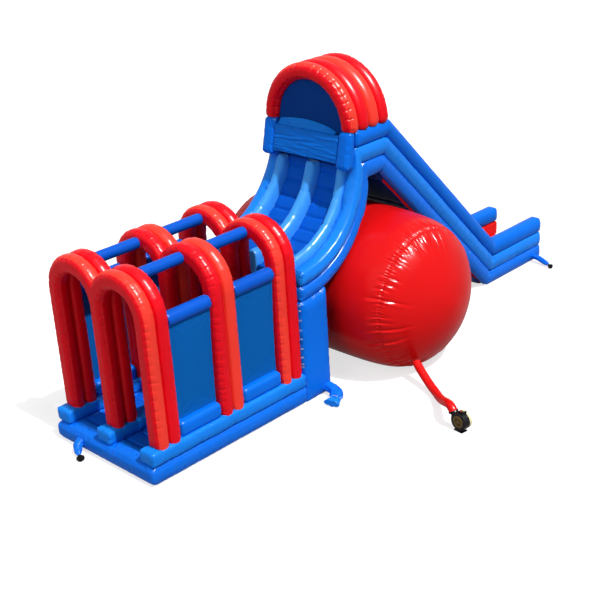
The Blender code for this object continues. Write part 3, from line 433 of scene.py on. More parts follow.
def make_welt(pairs, skin, radius, material):
    """A thin round hem along the seams, laid on the skin."""
    points = []
    edges = []
    for start, end in pairs:
        first = len(points)
        steps = max(1, math.ceil((end - start).length / WELT_STEP))
        points.extend(start.lerp(end, step / steps) for step in range(steps + 1))
        edges.extend((first + step, first + step + 1) for step in range(steps))
    surface = [skin.closest_point_on_mesh(point) for point in points]
    laid = [near if found else point for point, (found, near, normal, face) in zip(points, surface)]
    welt = piece_of_points("welt", laid, edges, [])
    edit_all((bpy.ops.mesh.remove_doubles, {"threshold": 0.004}))
    bpy.ops.object.convert(target="CURVE")
    welt.data.bevel_depth = radius
    welt.data.bevel_resolution = 1
    welt.data.use_fill_caps = True
    bpy.ops.object.convert(target="MESH")
    welt.data.materials.append(material)
    bpy.ops.object.shade_smooth()
    return welt


# %% The inflating routine
COARSE = 1.0
SLACK = 0.004
CROWN_REACH = 0.11
STITCH_SPACING = 0.17
TICK_WIDTH = 0.018
TICK_LENGTH = 0.075
GROUND_GAP = 0.002
slot_of = {row["node"]: row["material_slot"] for row in frame["record"]["subparts"]}


def gather_at(near, wave):
    """How strongly the thread gathers the cloth at one point of a seam, mostly nothing."""
    broad = noise.noise(near * (1.0 / wave))
    fine = noise.noise(near * (2.7 / wave) + Vector((5.0, 3.0, 1.0)))
    return max(0.0, broad * 0.8 + fine * 0.7 - 0.05)


def stitches_along(pairs, spacing):
    """Places spread unevenly along the seams, where single stitches pull hardest."""
    picked = []
    for start, end in pairs:
        steps = max(1, round((end - start).length / (spacing * 0.25)))
        for step in range(steps + 1):
            place = start.lerp(end, step / steps)
            apart = spacing * (1.0 + 0.5 * noise.noise(place * 2.3))
            if all((place - other).length > apart for other in picked):
                picked.append(place)
    return picked


def declare(piece, node):
    """Hide the CAD node that this padded skin stands for, and make the skin move with the course."""
    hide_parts(node)
    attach(piece, "course")
    return piece


def mark_outer(piece, outwards):
    """Give each point 1 where the skin faces away from the rider and 0 where it faces the rider."""
    facing = [0.5 + 2.0 * (Vector(normal).dot(outwards(Vector(point))) - 0.25)
              for point, normal in zip(get_points(piece.data), get_normals(piece.data))]
    layer = piece.data.attributes.new("outer", "FLOAT", "POINT")
    layer.data.foreach_set("value", [min(1.0, max(0.0, value)) for value in facing])


def remeshed(node, square, soft):
    """A merged copy of a node, remeshed into even squares and rounded."""
    piece = merged_copy(node, node + "_skin")
    piece.data.remesh_voxel_size = square
    bpy.ops.object.voxel_remesh()
    relax(piece.data, square, soft)
    return piece


def clear_ground(piece, gap):
    """Flatten what would reach into the ground."""
    points = get_points(piece.data)
    points[:, 2] = points[:, 2].clip(min=gap)
    set_points(piece.data, points)


def inflate(node, square=0.032, soft=0.025, rule=corner_seam, cuts=(), only=None, draw=0.012,
            reach=0.030, pucker=0.020, wave=0.13, pucker_reach=0.10, tick=0.0, welt=0.005,
            crown=0.0, streaks=0.0, material=None):
    """The skin of one air tube, crowned by the air, drawn in and puckered along its seams."""
    form = merged_copy(node, "form")
    pairs = seam_lines(form, rule, cuts, only)
    rims = seam_lines(form, corner_seam) if crown else []
    bpy.data.objects.remove(form)
    piece = remeshed(node, square * COARSE, soft)
    mesh = piece.data
    points = get_points(mesh)
    normals = get_normals(mesh)
    inward = np.array([SLACK * max(0.0, noise.noise(Vector(point) * 1.6)) for point in points])
    if streaks:
        inward += [streaks * noise.noise(Vector((point[0] * 3.0, point[1] * 1.6, point[2] * 19.0)))
                   + streaks * 0.7 * noise.noise(Vector((point[0], point[1] * 3.4 + 7.0, point[2] * 41.0)))
                   for point in points]
    finish = material or fabrics[slot_of[node]]
    if rims:
        tree = tree_of(along_seams(rims, 0.03))
        inward -= [crown * (1.0 - math.exp(-(tree.find(point)[2] / CROWN_REACH) ** 2)) for point in points]
    if pairs:
        tree = tree_of(along_seams(pairs, square * 0.35))
        stitches = tree_of(stitches_along(pairs, STITCH_SPACING))
        far = 3.5 * max(reach, pucker_reach if pucker else 0.0)
        for index, point in enumerate(points):
            near, found, distance = tree.find(point)
            if distance < far:
                inward[index] += draw * math.exp(-(distance / reach) ** 2)
                if pucker:
                    inward[index] += pucker * gather_at(near, wave) * math.exp(-distance / pucker_reach)
                if tick and distance < 0.2:
                    along = max(0.0, stitches.find(point)[2] ** 2 - distance ** 2)
                    inward[index] += tick * math.exp(-along / TICK_WIDTH ** 2 - (distance / TICK_LENGTH) ** 2)
    points -= normals * inward[:, None]
    set_points(mesh, points)
    mesh.materials.append(finish)
    bpy.ops.object.shade_smooth()
    if pairs and welt:
        joined(make_welt(pairs, piece, welt, finish), piece)
    clear_ground(piece, GROUND_GAP)
    return declare(piece, node)


# %% [markdown]
# ## The arches
# Each row is two arched tubes side by side. A tube's rim and its front face are cut from two rolls
# of cloth, which is why a pale red rim has a deep red face. The seam between them runs a hand's
# width behind the face, so a plane cuts it there.

# %% Two colours divided by the seam's plane
RIM_SEAM = 0.040
CANOPY_SEAM = 0.055
ARCH_SPRING_Z = 3.50
LANE_MIDDLE_Y = 0.708
FOOT_HEIGHT = 0.14
CANOPY_SPRING_Z = 5.74
MOUTH_RADIUS = 1.24
MOUTH_DEPTH = 0.28
MOUTH_FLARE = 0.11


def divided(name, plane_x):
    """Crimson before a plane across X and on the side that faces the rider, coral on the rim."""
    return coated_fabric(name, CORAL, coat=0.26, coat_roughness=0.32, front=CRIMSON, front_x=plane_x,
                         outer_only=True)


def away_from(middle_y, spring_z):
    """A function for the direction away from the nearer axis of an arch, or straight out at its legs."""
    def outwards(point):
        side = point.y - (middle_y if point.y > 0 else -middle_y)
        return Vector((0.0, side, max(0.0, point.z - spring_z))).normalized()

    return outwards


def round_tube(piece, low, high, crown, sink=0.0):
    """Arch a tube's surface between its two side seams, and sink its feet into what they stand on."""
    points = get_points(piece.data)
    normals = get_normals(piece.data)
    across = (points[:, 0] - (low.x + high.x) / 2) / ((high.x - low.x) / 2)
    rise = crown * (1.0 - across ** 2).clip(0.0, 1.0) * (1.0 - np.abs(normals[:, 0]) ** 2)
    points += normals * rise[:, None]
    points[:, 2] -= sink * (1.0 - (points[:, 2] - low.z) / FOOT_HEIGHT).clip(0.0, 1.0)
    set_points(piece.data, points)


def flare_mouth(piece):
    """Press the canopy's first tube outwards round its mouth, which makes it thinner there."""
    points = get_points(piece.data)
    rise = (points[:, 2] - CANOPY_SPRING_Z).clip(min=0.0)
    radius = np.hypot(points[:, 1], rise)
    share = ((MOUTH_RADIUS - radius) / MOUTH_DEPTH).clip(0.0, 1.0) * MOUTH_FLARE
    points[:, 1] *= 1.0 + share / radius
    points[:, 2] += share / radius * rise
    set_points(piece.data, points)


for row in (1, 2, 3):
    for word in ("front", "rear"):
        name = f"arch_{row}_{word}"
        low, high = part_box(name)
        seam = low.x + RIM_SEAM if word == "front" else high.x - RIM_SEAM
        striped = word == "front" and row != 2
        cloth = divided(f"arch_face_{row}", seam) if striped else None
        skin = inflate(name, square=0.022, soft=0.016, rule=no_seam, cuts=[((seam, 0, 0), (1, 0, 0))],
                       material=cloth, tick=0.014, pucker=0.012, draw=0.008)
        round_tube(skin, low, high, 0.018, 0.055)
        if striped:
            mark_outer(skin, away_from(LANE_MIDDLE_Y, ARCH_SPRING_Z))

for number in (1, 2, 3, 4):
    name = f"canopy_tube_{number}"
    low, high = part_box(name)
    cuts = []
    cloth = None
    if number == 1:
        cuts = [((low.x + CANOPY_SEAM, 0, 0), (1, 0, 0))]
        cloth = divided("canopy_face", low.x + CANOPY_SEAM)
    if number == 4:
        cuts = [((high.x - CANOPY_SEAM, 0, 0), (1, 0, 0))]
    skin = inflate(name, square=0.024, soft=0.085, rule=no_seam, cuts=cuts, material=cloth,
                   wave=0.12, pucker=0.022, pucker_reach=0.05, tick=0.045, draw=0.020, welt=0.007)
    round_tube(skin, low, high, 0.050)
    if number == 1:
        flare_mouth(skin)
        mark_outer(skin, away_from(0.0, CANOPY_SPRING_Z))
print("arches and canopy done")

# %% [markdown]
# ## Lanes, walls and slide
# The curved wall is sewn from strips between seams that point at the centre of its curve, a little
# under half a metre apart. Each strip is crowned, so a climber finds a ridge under every foot. The
# straight slide has wider strips.

# %% Planes across the curve and across the slope
CURVE_CENTRE = Vector((4.50 - TUNNEL_MIDDLE_X, 0.0, 5.12))
CURVE_END_X = 3.9
WALL_INNER_Y = 1.24
SLOPE = math.radians(-44.4)
SLOPE_START_Z = 4.4


def curve_planes(first, last, step):
    """Planes through the centre of the curve, by their angle below the horizontal in degrees."""
    planes = []
    angle = first
    while angle <= last:
        turn = math.radians(angle)
        planes.append((CURVE_CENTRE, (math.sin(turn), 0.0, math.cos(turn))))
        angle += step
    return planes


def slope_planes(count, start_x, step_x):
    """Planes square to the straight slide."""
    along = (math.cos(SLOPE), 0.0, math.sin(SLOPE))
    return [((start_x + step_x * index, 0.0, SLOPE_START_Z + step_x * index * math.tan(SLOPE)), along)
            for index in range(count)]


def on_curve_inside(middle):
    return middle.x < CURVE_END_X and abs(middle.y) < WALL_INNER_Y


pale_cloth = coated_fabric("divider_fabric", PALE, roughness=0.30, coat=0.28, coat_roughness=0.30)
wall_cloths = {"lower": coated_fabric("wall_fabric", BLUE, roughness=0.28, coat=0.22),
               "rail": coated_fabric("rail_fabric", SKY, roughness=0.28, coat=0.22)}
for word in ("near", "far"):
    inflate("climb_lane_" + word, rule=no_seam, cuts=curve_planes(4.0, 88.0, 9.0),
            draw=0.034, reach=0.034, tick=0.014)
    inflate("lane_side_tube_" + word, rule=no_seam, cuts=curve_planes(8.0, 84.0, 18.0),
            draw=0.008, material=pale_cloth)
    inflate("slide_side_tube_" + word, rule=mitre_seam)
    for level, cloth in wall_cloths.items():
        inflate(f"wall_{level}_{word}", rule=mitre_seam, cuts=curve_planes(4.0, 80.0, 9.0),
                only=on_curve_inside, material=cloth, draw=0.018, tick=0.026, crown=0.030)
    inflate("wall_upper_" + word, rule=mitre_seam, crown=0.030)
inflate("lane_divider", rule=no_seam, cuts=curve_planes(8.0, 84.0, 18.0), draw=0.008, material=pale_cloth)
DECK_END_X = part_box("canopy_tube_4")[1].x
# Painted shade: the deck before the canopy's back and the whole underside of the slide bed get dark navy
# cloth, which stands for the shadow they lie in; only the upper, outward face of the slope is red.
bed_cloth_painted_shade = coated_fabric("slide_bed_fabric_painted_shade", RED, front=NAVY_WITH_PAINTED_SHADE, front_x=DECK_END_X, outer_only=True)
bed = inflate("slide_bed", square=0.05, rule=mitre_seam, cuts=slope_planes(7, 5.6, 0.85),
              draw=0.020, reach=0.06, material=bed_cloth_painted_shade)
mark_outer(bed, lambda point: Vector((0.0, 0.5 * point.y, 0.85)).normalized())

# %% [markdown]
# ## The base
# The floor of the tunnel is a mattress in a square roll. Kerbs stand on the roll and on the floor,
# and each arch leg stands on a kerb.

# %% Base, block, posts and struts
floor_cuts = [((x, 0, 0), (1, 0, 0)) for x in np.arange(-1.6, 1.9, 0.45)]
inflate("lane_mattress", square=0.05, rule=no_seam, cuts=floor_cuts,
        only=lambda middle: middle.z > 0.3, draw=0.035, reach=0.06)
ROUNDNESS = {"kerb": 0.012, "bolster": 0.025, "base_roll": 0.050, "climb_block": 0.020, "tower_post": 0.045}
CROWNS = {"climb_block": 0.040, "kerb": 0.010}
tube_cloth = coated_fabric("tube_fabric", (0.001, 0.098, 0.600))
for node in sorted(nodes):
    for start, soft in ROUNDNESS.items():
        if node.startswith(start):
            inflate(node, soft=soft, tick=0.014, crown=CROWNS.get(start, 0.0))
    if node.startswith(("crown_tube", "shoulder_tube")):
        inflate(node, square=0.024, soft=0.0, material=tube_cloth, draw=0.0, pucker=0.016, wave=0.07,
                pucker_reach=0.05, welt=0.004)
inflate("drum_duct", square=0.014, soft=0.0, draw=0.0, pucker=0.012, wave=0.06, pucker_reach=0.04, welt=0.003)

# %% [markdown]
# ## Tied sleeves
# Air also gets in and out by three short sleeves, which are tied shut while the slide is in use.
# The tie draws the cloth into a narrow neck: folds run into it from both sides, and the loose end
# behind it stands open like a trumpet. Each sleeve follows the points that its solid was lofted
# along, so its cloth can be drawn towards that line.

# %% Drawing a sleeve in at its tie
SLEEVE_LINES = {
    "entrance_sleeve": ((-2.499, 0.80, 0.21), (-2.600, 0.77, 0.17), (-2.680, 0.66, 0.11),
                        (-2.730, 0.56, 0.08), (-2.770, 0.48, 0.08), (-2.810, 0.40, 0.10)),
    "block_sleeve": ((2.68, -1.60, 0.16), (2.67, -1.80, 0.15), (2.60, -1.97, 0.14), (2.48, -2.08, 0.13),
                     (2.34, -2.14, 0.12), (2.21, -2.17, 0.10)),
    "runout_sleeve": ((11.95, -0.92, 0.17), (11.95, -1.10, 0.16), (11.90, -1.33, 0.12),
                      (11.84, -1.52, 0.09), (11.80, -1.60, 0.075), (11.76, -1.68, 0.085)),
}
CORD_RADIUS = 0.007
black_cloth = coated_fabric("sleeve_end_cloth", (0.010, 0.010, 0.012), roughness=0.5, coat=0.02)
cord_cloth = coated_fabric("tie_cord", (0.42, 0.44, 0.46), roughness=0.7, coat=0.0)


def along_line(point, line):
    """How far along a line its nearest place to a point is, from 0 to 1, and that place."""
    best = (1e9, 0.0, None)
    for index in range(len(line) - 1):
        start, step = line[index], line[index + 1] - line[index]
        share = min(1.0, max(0.0, (point - start).dot(step) / step.length_squared))
        near = start + step * share
        best = min(best, ((point - near).length, (index + share) / (len(line) - 1), near))
    return best[1:]


def tie_sleeve(name, tie, neck, folds, end_cloth):
    """Narrow a sleeve at its tie, fold it towards the tie, and put a cord round the neck."""
    piece = remeshed(name, 0.012 * COARSE, 0.0)
    line = [Vector(point) for point in SLEEVE_LINES[name]]
    points = get_points(piece.data)
    shares = []
    for index, row in enumerate(points):
        point = Vector(row)
        share, near = along_line(point, line)
        out = point - near
        turn = math.atan2(out.z, out.x + out.y)
        pull = math.exp(-((share - tie) / 0.13) ** 2)
        fold = 0.5 + 0.5 * math.sin(folds * turn + 1.7 * noise.noise(near * 6.0))
        ripple = noise.noise(Vector((turn * 1.6, share * 5.0, tie * 10.0)))
        size = 1.0 - (1.0 - neck) * pull - (0.13 + 0.14 * pull) * fold - 0.07 * ripple
        moved = near + out * size
        points[index] = (moved.x, moved.y, max(moved.z, 0.004))
        shares.append(share)
    set_points(piece.data, points)
    piece.data.materials.append(fabrics[slot_of[name]])
    piece.data.materials.append(end_cloth)
    for face in piece.data.polygons:
        face.material_index = int(shares[face.vertices[0]] > tie + 0.02)
    bpy.ops.object.shade_smooth()
    place = tie * (len(line) - 1)
    index = min(int(place), len(line) - 2)
    centre = line[index].lerp(line[index + 1], place - index)
    along = (line[index + 1] - line[index]).normalized()
    neck_points = points[np.abs(np.array(shares) - tie) < 0.03]
    radius = float(np.linalg.norm(neck_points - np.array(centre), axis=1).mean())
    cord = ring(radius, CORD_RADIUS, centre, along.to_track_quat("Z", "Y").to_euler(), steps=32)
    bpy.ops.object.transform_apply()
    cord.data.materials.append(cord_cloth)
    bpy.ops.object.shade_smooth()
    joined(cord, piece)
    declare(piece, name)
    print(name, "tied with", round(2 * math.pi * radius, 2), "m of cord")


tie_sleeve("entrance_sleeve", 0.66, 0.42, 7, black_cloth)
tie_sleeve("block_sleeve", 0.74, 0.72, 5, fabrics["vinyl_sky"])
tie_sleeve("runout_sleeve", 0.70, 0.55, 6, black_cloth)

# %% [markdown]
# ## The drum
# The drum is a barrel with a dished cap sewn into each end. The cap is cut larger than the hole, so
# the thread gathers it: pleats run out from the seam on both sides, close together, some a
# hand long and a few as long as an arm. Each pleat is a narrow valley whose length is its own.

# %% The drum's outline, turned round its axis
DRUM_AXIS = Vector((5.10022, 0.0, 1.77))
CAP_SEAM_Y = 2.56
BODY_RADIUS = 1.868
SEAM_RADIUS = 1.650
BODY_LINE = ((-0.60, 1.868), (0.0, 1.868), (0.60, 1.867), (1.20, 1.858), (1.70, 1.838), (2.10, 1.795),
             (2.35, 1.735), (2.56, 1.650), (2.72, 1.560))
CAP_LINE = ((2.50, 1.684), (2.56, 1.650), (2.61, 1.619), (2.66, 1.583), (2.74, 1.515), (2.84, 1.410),
            (2.96, 1.258), (3.08, 1.065), (3.19, 0.845), (3.28, 0.620), (3.345, 0.390), (3.385, 0.180),
            (3.40, 0.0), (3.385, -0.180))
POLE_Y = 3.4
DRUM_TURNS = 1100
SEAM_GROOVE = 0.030
SEAM_GROOVE_WIDTH = 0.024
SEAM_WELT = 0.014
SEAM_WELT_WIDTH = 0.008
PLEAT_STRENGTH = 1.5
PLEAT_SLANT = 10 / 3


def smooth_line(corners, steps):
    """Points of a smooth curve through the corners, from the second one to the last but one."""
    line = [Vector(corner) for corner in corners]
    curve = []
    for a, b, c, d in zip(line, line[1:], line[2:], line[3:]):
        for step in range(steps):
            t = step / steps
            curve.append(0.5 * (2 * b + (c - a) * t + (2 * a - 5 * b + 4 * c - d) * t * t
                                + (3 * b - a - 3 * c + d) * t ** 3))
    return [tuple(point) for point in curve]


def turn_drum(turns):
    """A closed mesh: rings of points round the axis, and one point in the middle of each cap."""
    line = np.array(smooth_line(BODY_LINE, 40) + smooth_line(CAP_LINE, 40))
    travelled = np.concatenate(([0.0], np.cumsum(np.hypot(*np.diff(line, axis=0).T))))
    seam_at = travelled[np.argmax(line[:, 0] >= CAP_SEAM_Y)]
    places = [0.0]
    while places[-1] < travelled[-1] - 0.04:
        gap = abs(places[-1] - seam_at)
        places.append(places[-1] + (0.005 if gap < 0.05 else 0.018 if gap < 0.50 else 0.07))
    half = list(zip(np.interp(places, travelled, line[:, 0]), np.interp(places, travelled, line[:, 1])))
    rows = [(-place, radius) for place, radius in reversed(half[1:])] + half
    angle = np.arange(turns) * (2 * math.pi / turns)
    rings = [np.column_stack((DRUM_AXIS.x + radius * np.cos(angle), np.full(turns, place),
                              DRUM_AXIS.z + radius * np.sin(angle))) for place, radius in rows]
    poles = [(DRUM_AXIS.x, -POLE_Y, DRUM_AXIS.z), (DRUM_AXIS.x, POLE_Y, DRUM_AXIS.z)]
    points = np.vstack([*rings, poles])
    around = [(step, (step + 1) % turns) for step in range(turns)]
    last = (len(rows) - 1) * turns
    middle = len(points) - 2
    faces = [(start + one, start + two, start + turns + two, start + turns + one)
             for start in range(0, last, turns) for one, two in around]
    for one, two in around:
        faces.append((one, middle, two))
        faces.append((last + two, middle + 1, last + one))
    piece = piece_of_points("drum_skin", points.tolist(), [], faces)
    edit_all((bpy.ops.mesh.normals_make_consistent, {"inside": False}))
    return piece


# %% Pleats along the cap seams
# Each kind: up to which draw it is picked, half width, depth, reach on the cap, reach on the tube, gap.
PLEAT_KINDS = ((0.12, 0.022, 0.026, (0.30, 0.55), (0.15, 0.32), (0.10, 0.24)),
               (0.50, 0.016, 0.019, (0.14, 0.30), (0.10, 0.24), (0.07, 0.16)),
               (1.00, 0.010, 0.010, (0.05, 0.14), (0.05, 0.16), (0.04, 0.11)))


def drum_pleats(seed):
    """Pleats of one cap: (place round the seam, half width, reach on the cap, reach on the tube, depth)."""
    dice = np.random.default_rng(seed)
    pleats = []
    place = 0.0
    while place < 2 * math.pi * BODY_RADIUS:
        draw = dice.random()
        half, depth, cap, tube, gap = next(kind[1:] for kind in PLEAT_KINDS if draw < kind[0])
        pleats.append((place, half, dice.uniform(*cap), dice.uniform(*tube), depth))
        place += dice.uniform(*gap)
        if dice.random() < 0.08:
            place += dice.uniform(0.2, 0.5)
    return pleats


def pleat_drum(piece):
    """Draw the seams in, press the pleats, dent the tube softly, and settle it on the ground."""
    points = get_points(piece.data)
    normals = get_normals(piece.data)
    turn = np.arctan2(points[:, 2] - DRUM_AXIS.z, points[:, 0] - DRUM_AXIS.x) % (2 * math.pi)
    radius = np.hypot(points[:, 2] - DRUM_AXIS.z, points[:, 0] - DRUM_AXIS.x)
    inward = np.array([0.006 * noise.noise(Vector(point) * 0.8) for point in points])
    for side in (-1, 1):
        ahead = points[:, 1] * side - CAP_SEAM_Y
        away = np.hypot(ahead, np.where(ahead > 0, radius - SEAM_RADIUS, 0.0))
        inward += SEAM_GROOVE * np.exp(-np.abs(ahead) / SEAM_GROOVE_WIDTH)
        inward -= SEAM_WELT * np.exp(-(ahead / SEAM_WELT_WIDTH) ** 2)
        for place, half, cap_reach, tube_reach, depth in drum_pleats(11 + side):
            gap = turn * BODY_RADIUS - place - PLEAT_SLANT * half * away
            reach = np.where(ahead > 0, cap_reach, tube_reach)
            fade = np.exp(-(away / reach) ** 2)
            width = half * (1.0 + 1.2 * away / reach)
            valley = np.exp(-np.abs(gap) / width)
            ridge = 0.4 * np.exp(-((gap - 2.2 * width) / width) ** 2)
            inward += PLEAT_STRENGTH * depth * fade * (valley - ridge)
    set_points(piece.data, points - normals * inward[:, None])
    clear_ground(piece, 0.003)


drum = turn_drum(round(DRUM_TURNS / COARSE))
pleat_drum(drum)
drum.data.materials.append(coated_fabric("drum_fabric", (0.700, 0.005, 0.006), roughness=0.30, coat=0.13,
                                         coat_roughness=0.14))
bpy.ops.object.shade_smooth()
declare(drum, "drum")
print("drum:", len(drum.data.polygons), "faces")

# %% [markdown]
# ## Sheets
# A sheet of uncoated cloth closes each gap between two rows, and a dark navy one closes the back of the
# canopy; that navy is partly the cloth's own blue and partly painted shade. A sheet is a grid of points
# between its four edges. Air moving through the tunnel bellies it out, creases run into it from its
# corners, where it is pulled hardest, and a doubled hem stands proud along its edge. Solidify then gives it a
# thickness that a camera can see.

# %% From rows of points to a sheet
SHEET_THICKNESS = 0.004


def net(tall, wide, low, high, place):
    """Rows of points place(u, v), for v from 0 to 1 and u from low to high."""
    return [[place(u, v) for u in np.linspace(low, high, wide)] for v in np.linspace(0.0, 1.0, tall)]


def cloth_sheet(name, rows, finish):
    """A thin sheet through rows of points."""
    across = len(rows[0])
    faces = [(start, start + 1, start + across + 1, start + across)
             for row in range(len(rows) - 1) for start in range(row * across, row * across + across - 1)]
    piece = piece_of_points(name, [tuple(point) for row in rows for point in row], [], faces)
    solid = piece.modifiers.new("thickness", "SOLIDIFY")
    solid.thickness = SHEET_THICKNESS
    solid.offset = 0.0
    bpy.ops.object.modifier_apply(modifier="thickness")
    edit_all((bpy.ops.mesh.normals_make_consistent, {"inside": False}))
    piece.data.materials.append(finish)
    bpy.ops.object.shade_smooth_by_angle(angle=math.radians(50.0))
    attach(piece, "course")
    return piece


PANEL_TUCK = 0.02
PANEL_BELLY = 0.034
PANEL_LEAN = 0.075
HEM_WIDTH = 0.04


def crease(u, v, seed):
    """Wrinkles that fan out from the four corners of a stretched sheet, u and v from 0 to 1."""
    total = 0.0
    for corner_u, corner_v in ((0, 0), (1, 0), (0, 1), (1, 1)):
        side, rise = abs(u - corner_u), abs(v - corner_v) * 2.0
        far = math.hypot(side, rise)
        fan = math.sin(math.atan2(rise, side) * 13.0 + seed + corner_u * 2.1 + corner_v * 4.7)
        total += fan * math.exp(-far / 0.38) * min(1.0, far / 0.10)
    return total


def panel_rows(low, high):
    """Rows of points of a side panel between two rows of arches."""
    outwards = 1.0 if low.y > 0 else -1.0
    wide, tall = high.x - low.x, high.z - low.z

    def place(u, v):
        spot = Vector((low.x + u * wide, 0.0, low.z + v * (tall + PANEL_TUCK)))
        belly = PANEL_BELLY * math.sin(math.pi * u) ** 0.8 * math.sin(math.pi * v) ** 0.8
        hem = 0.003 if min(u * wide, wide - u * wide, v * tall, tall - v * tall) < HEM_WIDTH else 0.0
        ripple = 0.006 * crease(u, v, low.x * 3.0 + outwards) + 0.004 * noise.noise(spot * 2.4)
        scallop = 0.007 * abs(math.sin(8.0 * math.pi * v)) * (1.0 if u < 0.5 else -1.0)
        edge = scallop if u in (0.0, 1.0) else 0.0
        y = (low.y + high.y) / 2 + outwards * (belly + hem + ripple + PANEL_LEAN * v * v)
        return spot.x + edge, y, spot.z

    return net(80, 44, 0.0, 1.0, place)


# %% The side panels and the dark sheet behind the canopy
for node in sorted(nodes):
    if node.startswith("side_panel"):
        low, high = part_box(node)
        piece = cloth_sheet(node + "_sheet", panel_rows(low, high), fabrics["panel_blue"])
        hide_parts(node)

BACK_LOW, BACK_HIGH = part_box("canopy_back_panel")
BACK_X = (BACK_LOW.x + BACK_HIGH.x) / 2
BACK_RADIUS = BACK_HIGH.y + MOUTH_FLARE


def back_place(u, v):
    """Across the canopy by u, and from the sheet's foot to the canopy's inside by v."""
    y = BACK_RADIUS * math.sin(math.pi * u / 2)
    top = CANOPY_SPRING_Z + math.sqrt(max(0.0, BACK_RADIUS ** 2 - y ** 2))
    z = BACK_LOW.z + v * (top - BACK_LOW.z)
    belly = 0.030 * (1.0 - u * u) * math.sin(math.pi * v)
    ripple = 0.008 * noise.noise(Vector((y * 2.0, z * 3.0, 4.0))) * (1.0 - u ** 4)
    return BACK_X + belly + ripple, y, z


# The dark sheet's navy is partly its own blue and partly painted shade.
back = cloth_sheet("canopy_back_sheet", net(48, 64, -1.0, 1.0, back_place), fabrics["vinyl_navy"])
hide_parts("canopy_back_panel")
print("sheets hung")

# %% [markdown]
# ## The banner and its flap
# A slack padded band crosses the front of the tower. It is pulled from side to side, so its creases
# all run that way. A loose flap of the same cloth joins its back edge to the dark sheet.

# %% Banner, with creases along it
banner_cloth = coated_fabric("banner_fabric", (0.001, 0.150, 0.680), roughness=0.36)
inflate("banner", square=0.016, soft=0.022, streaks=0.011, draw=0.006, pucker=0.010,
        pucker_reach=0.05, tick=0.012, welt=0.007, material=banner_cloth)
BANNER_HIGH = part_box("banner")[1]
FLAP_START_Y = -0.80
FLAP_WIDTH = 1.75
FLAP_TOP_Z = 5.63
FLAP_BOW = 0.17


def flap_place(u, v):
    """Along the banner by u, and from its top edge to the dark sheet by v."""
    y = FLAP_START_Y + FLAP_WIDTH * u
    low_edge = Vector((BANNER_HIGH.x - 0.05, y, BANNER_HIGH.z - 0.022))
    high_edge = Vector((BACK_X - 0.012, y, FLAP_TOP_Z + FLAP_BOW * math.sin(0.8 * math.pi * u ** 0.8)))
    fold = 0.020 * noise.noise(Vector((y * 2.2, v * 5.0, 1.0)))
    fold += 0.010 * noise.noise(Vector((y * 5.0 + v * 3.0, v * 11.0, 6.0)))
    outwards = Vector((-0.7, 0.0, 0.5)) * math.sin(math.pi * min(1.0, v + 0.1))
    return low_edge.lerp(high_edge, v) + outwards * fold


flap_cloth = coated_fabric("flap_fabric", (0.004, 0.190, 0.760), roughness=0.36)
flap = cloth_sheet("banner_flap", net(20, 90, 0.0, 1.0, flap_place), flap_cloth)
print("banner and flap made")

# %% [markdown]
# ## Lacing
# A cord laces the climbing block to the legs of the third row and to the base. Only its short outer
# loops show, so one small ring is made for each, sunk halfway into the cloth.

# %% Loops of the lacing cord
LEG_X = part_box("arch_3_rear")[1].x
LOOP_RADIUS = 0.027
LACE_RADIUS = 0.0042
loops = []
for side in (-1.0, 1.0):
    for step, z in enumerate((0.93, 1.00, 1.16, 1.38, 1.62, 1.83, 2.07, 2.30, 2.43)):
        loops.append((LEG_X + 0.004, side * 1.590, z, 0.16 * (-1) ** step, 0.0))
    for step, x in enumerate((2.04, 2.15, 2.26, 2.37)):
        loops.append((x, side * 1.585, 0.49, 0.0, math.pi / 2))
made = []
for x, y, z, slant, roll in loops:
    loop = ring(LOOP_RADIUS, LACE_RADIUS, (x, y, z), (0.0, roll, slant), steps=14, sides=6)
    loop.scale = (1.0, 0.9, 1.0)
    bpy.ops.object.transform_apply()
    bpy.ops.object.shade_smooth()
    made.append(loop)
lacing = joined(*made)
lacing.name = "block_lacing"
lacing.data.materials.append(cord_cloth)
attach(lacing, "course")
print("lacing loops:", len(loops))

# %% [markdown]
# ## The blower
# The fan's scroll is black moulded plastic with a fine grain, the guard and the ring round the inlet
# are brass, and a cream cover closes the motor's side. They are hard pieces, so their solids stay.

# %% Finishes of hard pieces
def hard_finish(name, colour, roughness, metallic=0.0, specular=0.5, grain=0.0004, scale=260.0):
    """Plastic or metal with a moulded or brushed grain, and scuffed a little."""
    material, shader, place = start_material(name)
    fine = place.cloudy(scale, 3.0)
    worn = place.cloudy(23.0, 6.0).clamp(0.55, 0.75)
    scuffed = rgba([0.7 * value + 0.02 for value in colour])
    feed(shader, {"Base Color": (worn * 0.25).blend(rgba(colour), scuffed),
                  "Roughness": worn * 0.18 + fine * 0.10 + (roughness - 0.05),
                  "Metallic": metallic, "Specular IOR Level": specular,
                  "Normal": (fine + worn).bump(0.4, grain)})
    return material


hard = {
    "blower_black": hard_finish("moulded_black", (0.004, 0.004, 0.0045), 0.30, specular=0.15),
    "blower_gold": hard_finish("guard_brass", (0.20, 0.125, 0.035), 0.38, metallic=0.8, scale=420.0),
    "motor_grey": hard_finish("cast_grey", (0.055, 0.056, 0.058), 0.48, metallic=0.3),
    "rocker_red": hard_finish("rocker_plastic", (0.62, 0.02, 0.02), 0.30),
}
cream = hard_finish("cream_cover", (0.78, 0.70, 0.42), 0.38)
for node in sorted(nodes):
    if slot_of[node] in hard:
        nodes[node].data.materials.clear()
        nodes[node].data.materials.append(hard[slot_of[node]])

# %% Ring, cover, bolts and cuff
BLOWER_TURN = Matrix.Translation((3.18022, -5.03, 0.235)) @ Matrix.Rotation(math.radians(-7.0), 4, "Z")
SIDEWAYS = (0.0, math.pi / 2, 0.0)
INLET_X = -0.083
BOLT_COUNT = 8
BOLT_CIRCLE = 0.172
NOZZLE_RISE = math.radians(60.0)
NOZZLE_OFFSET = 0.105
NOZZLE_REACH = 0.205


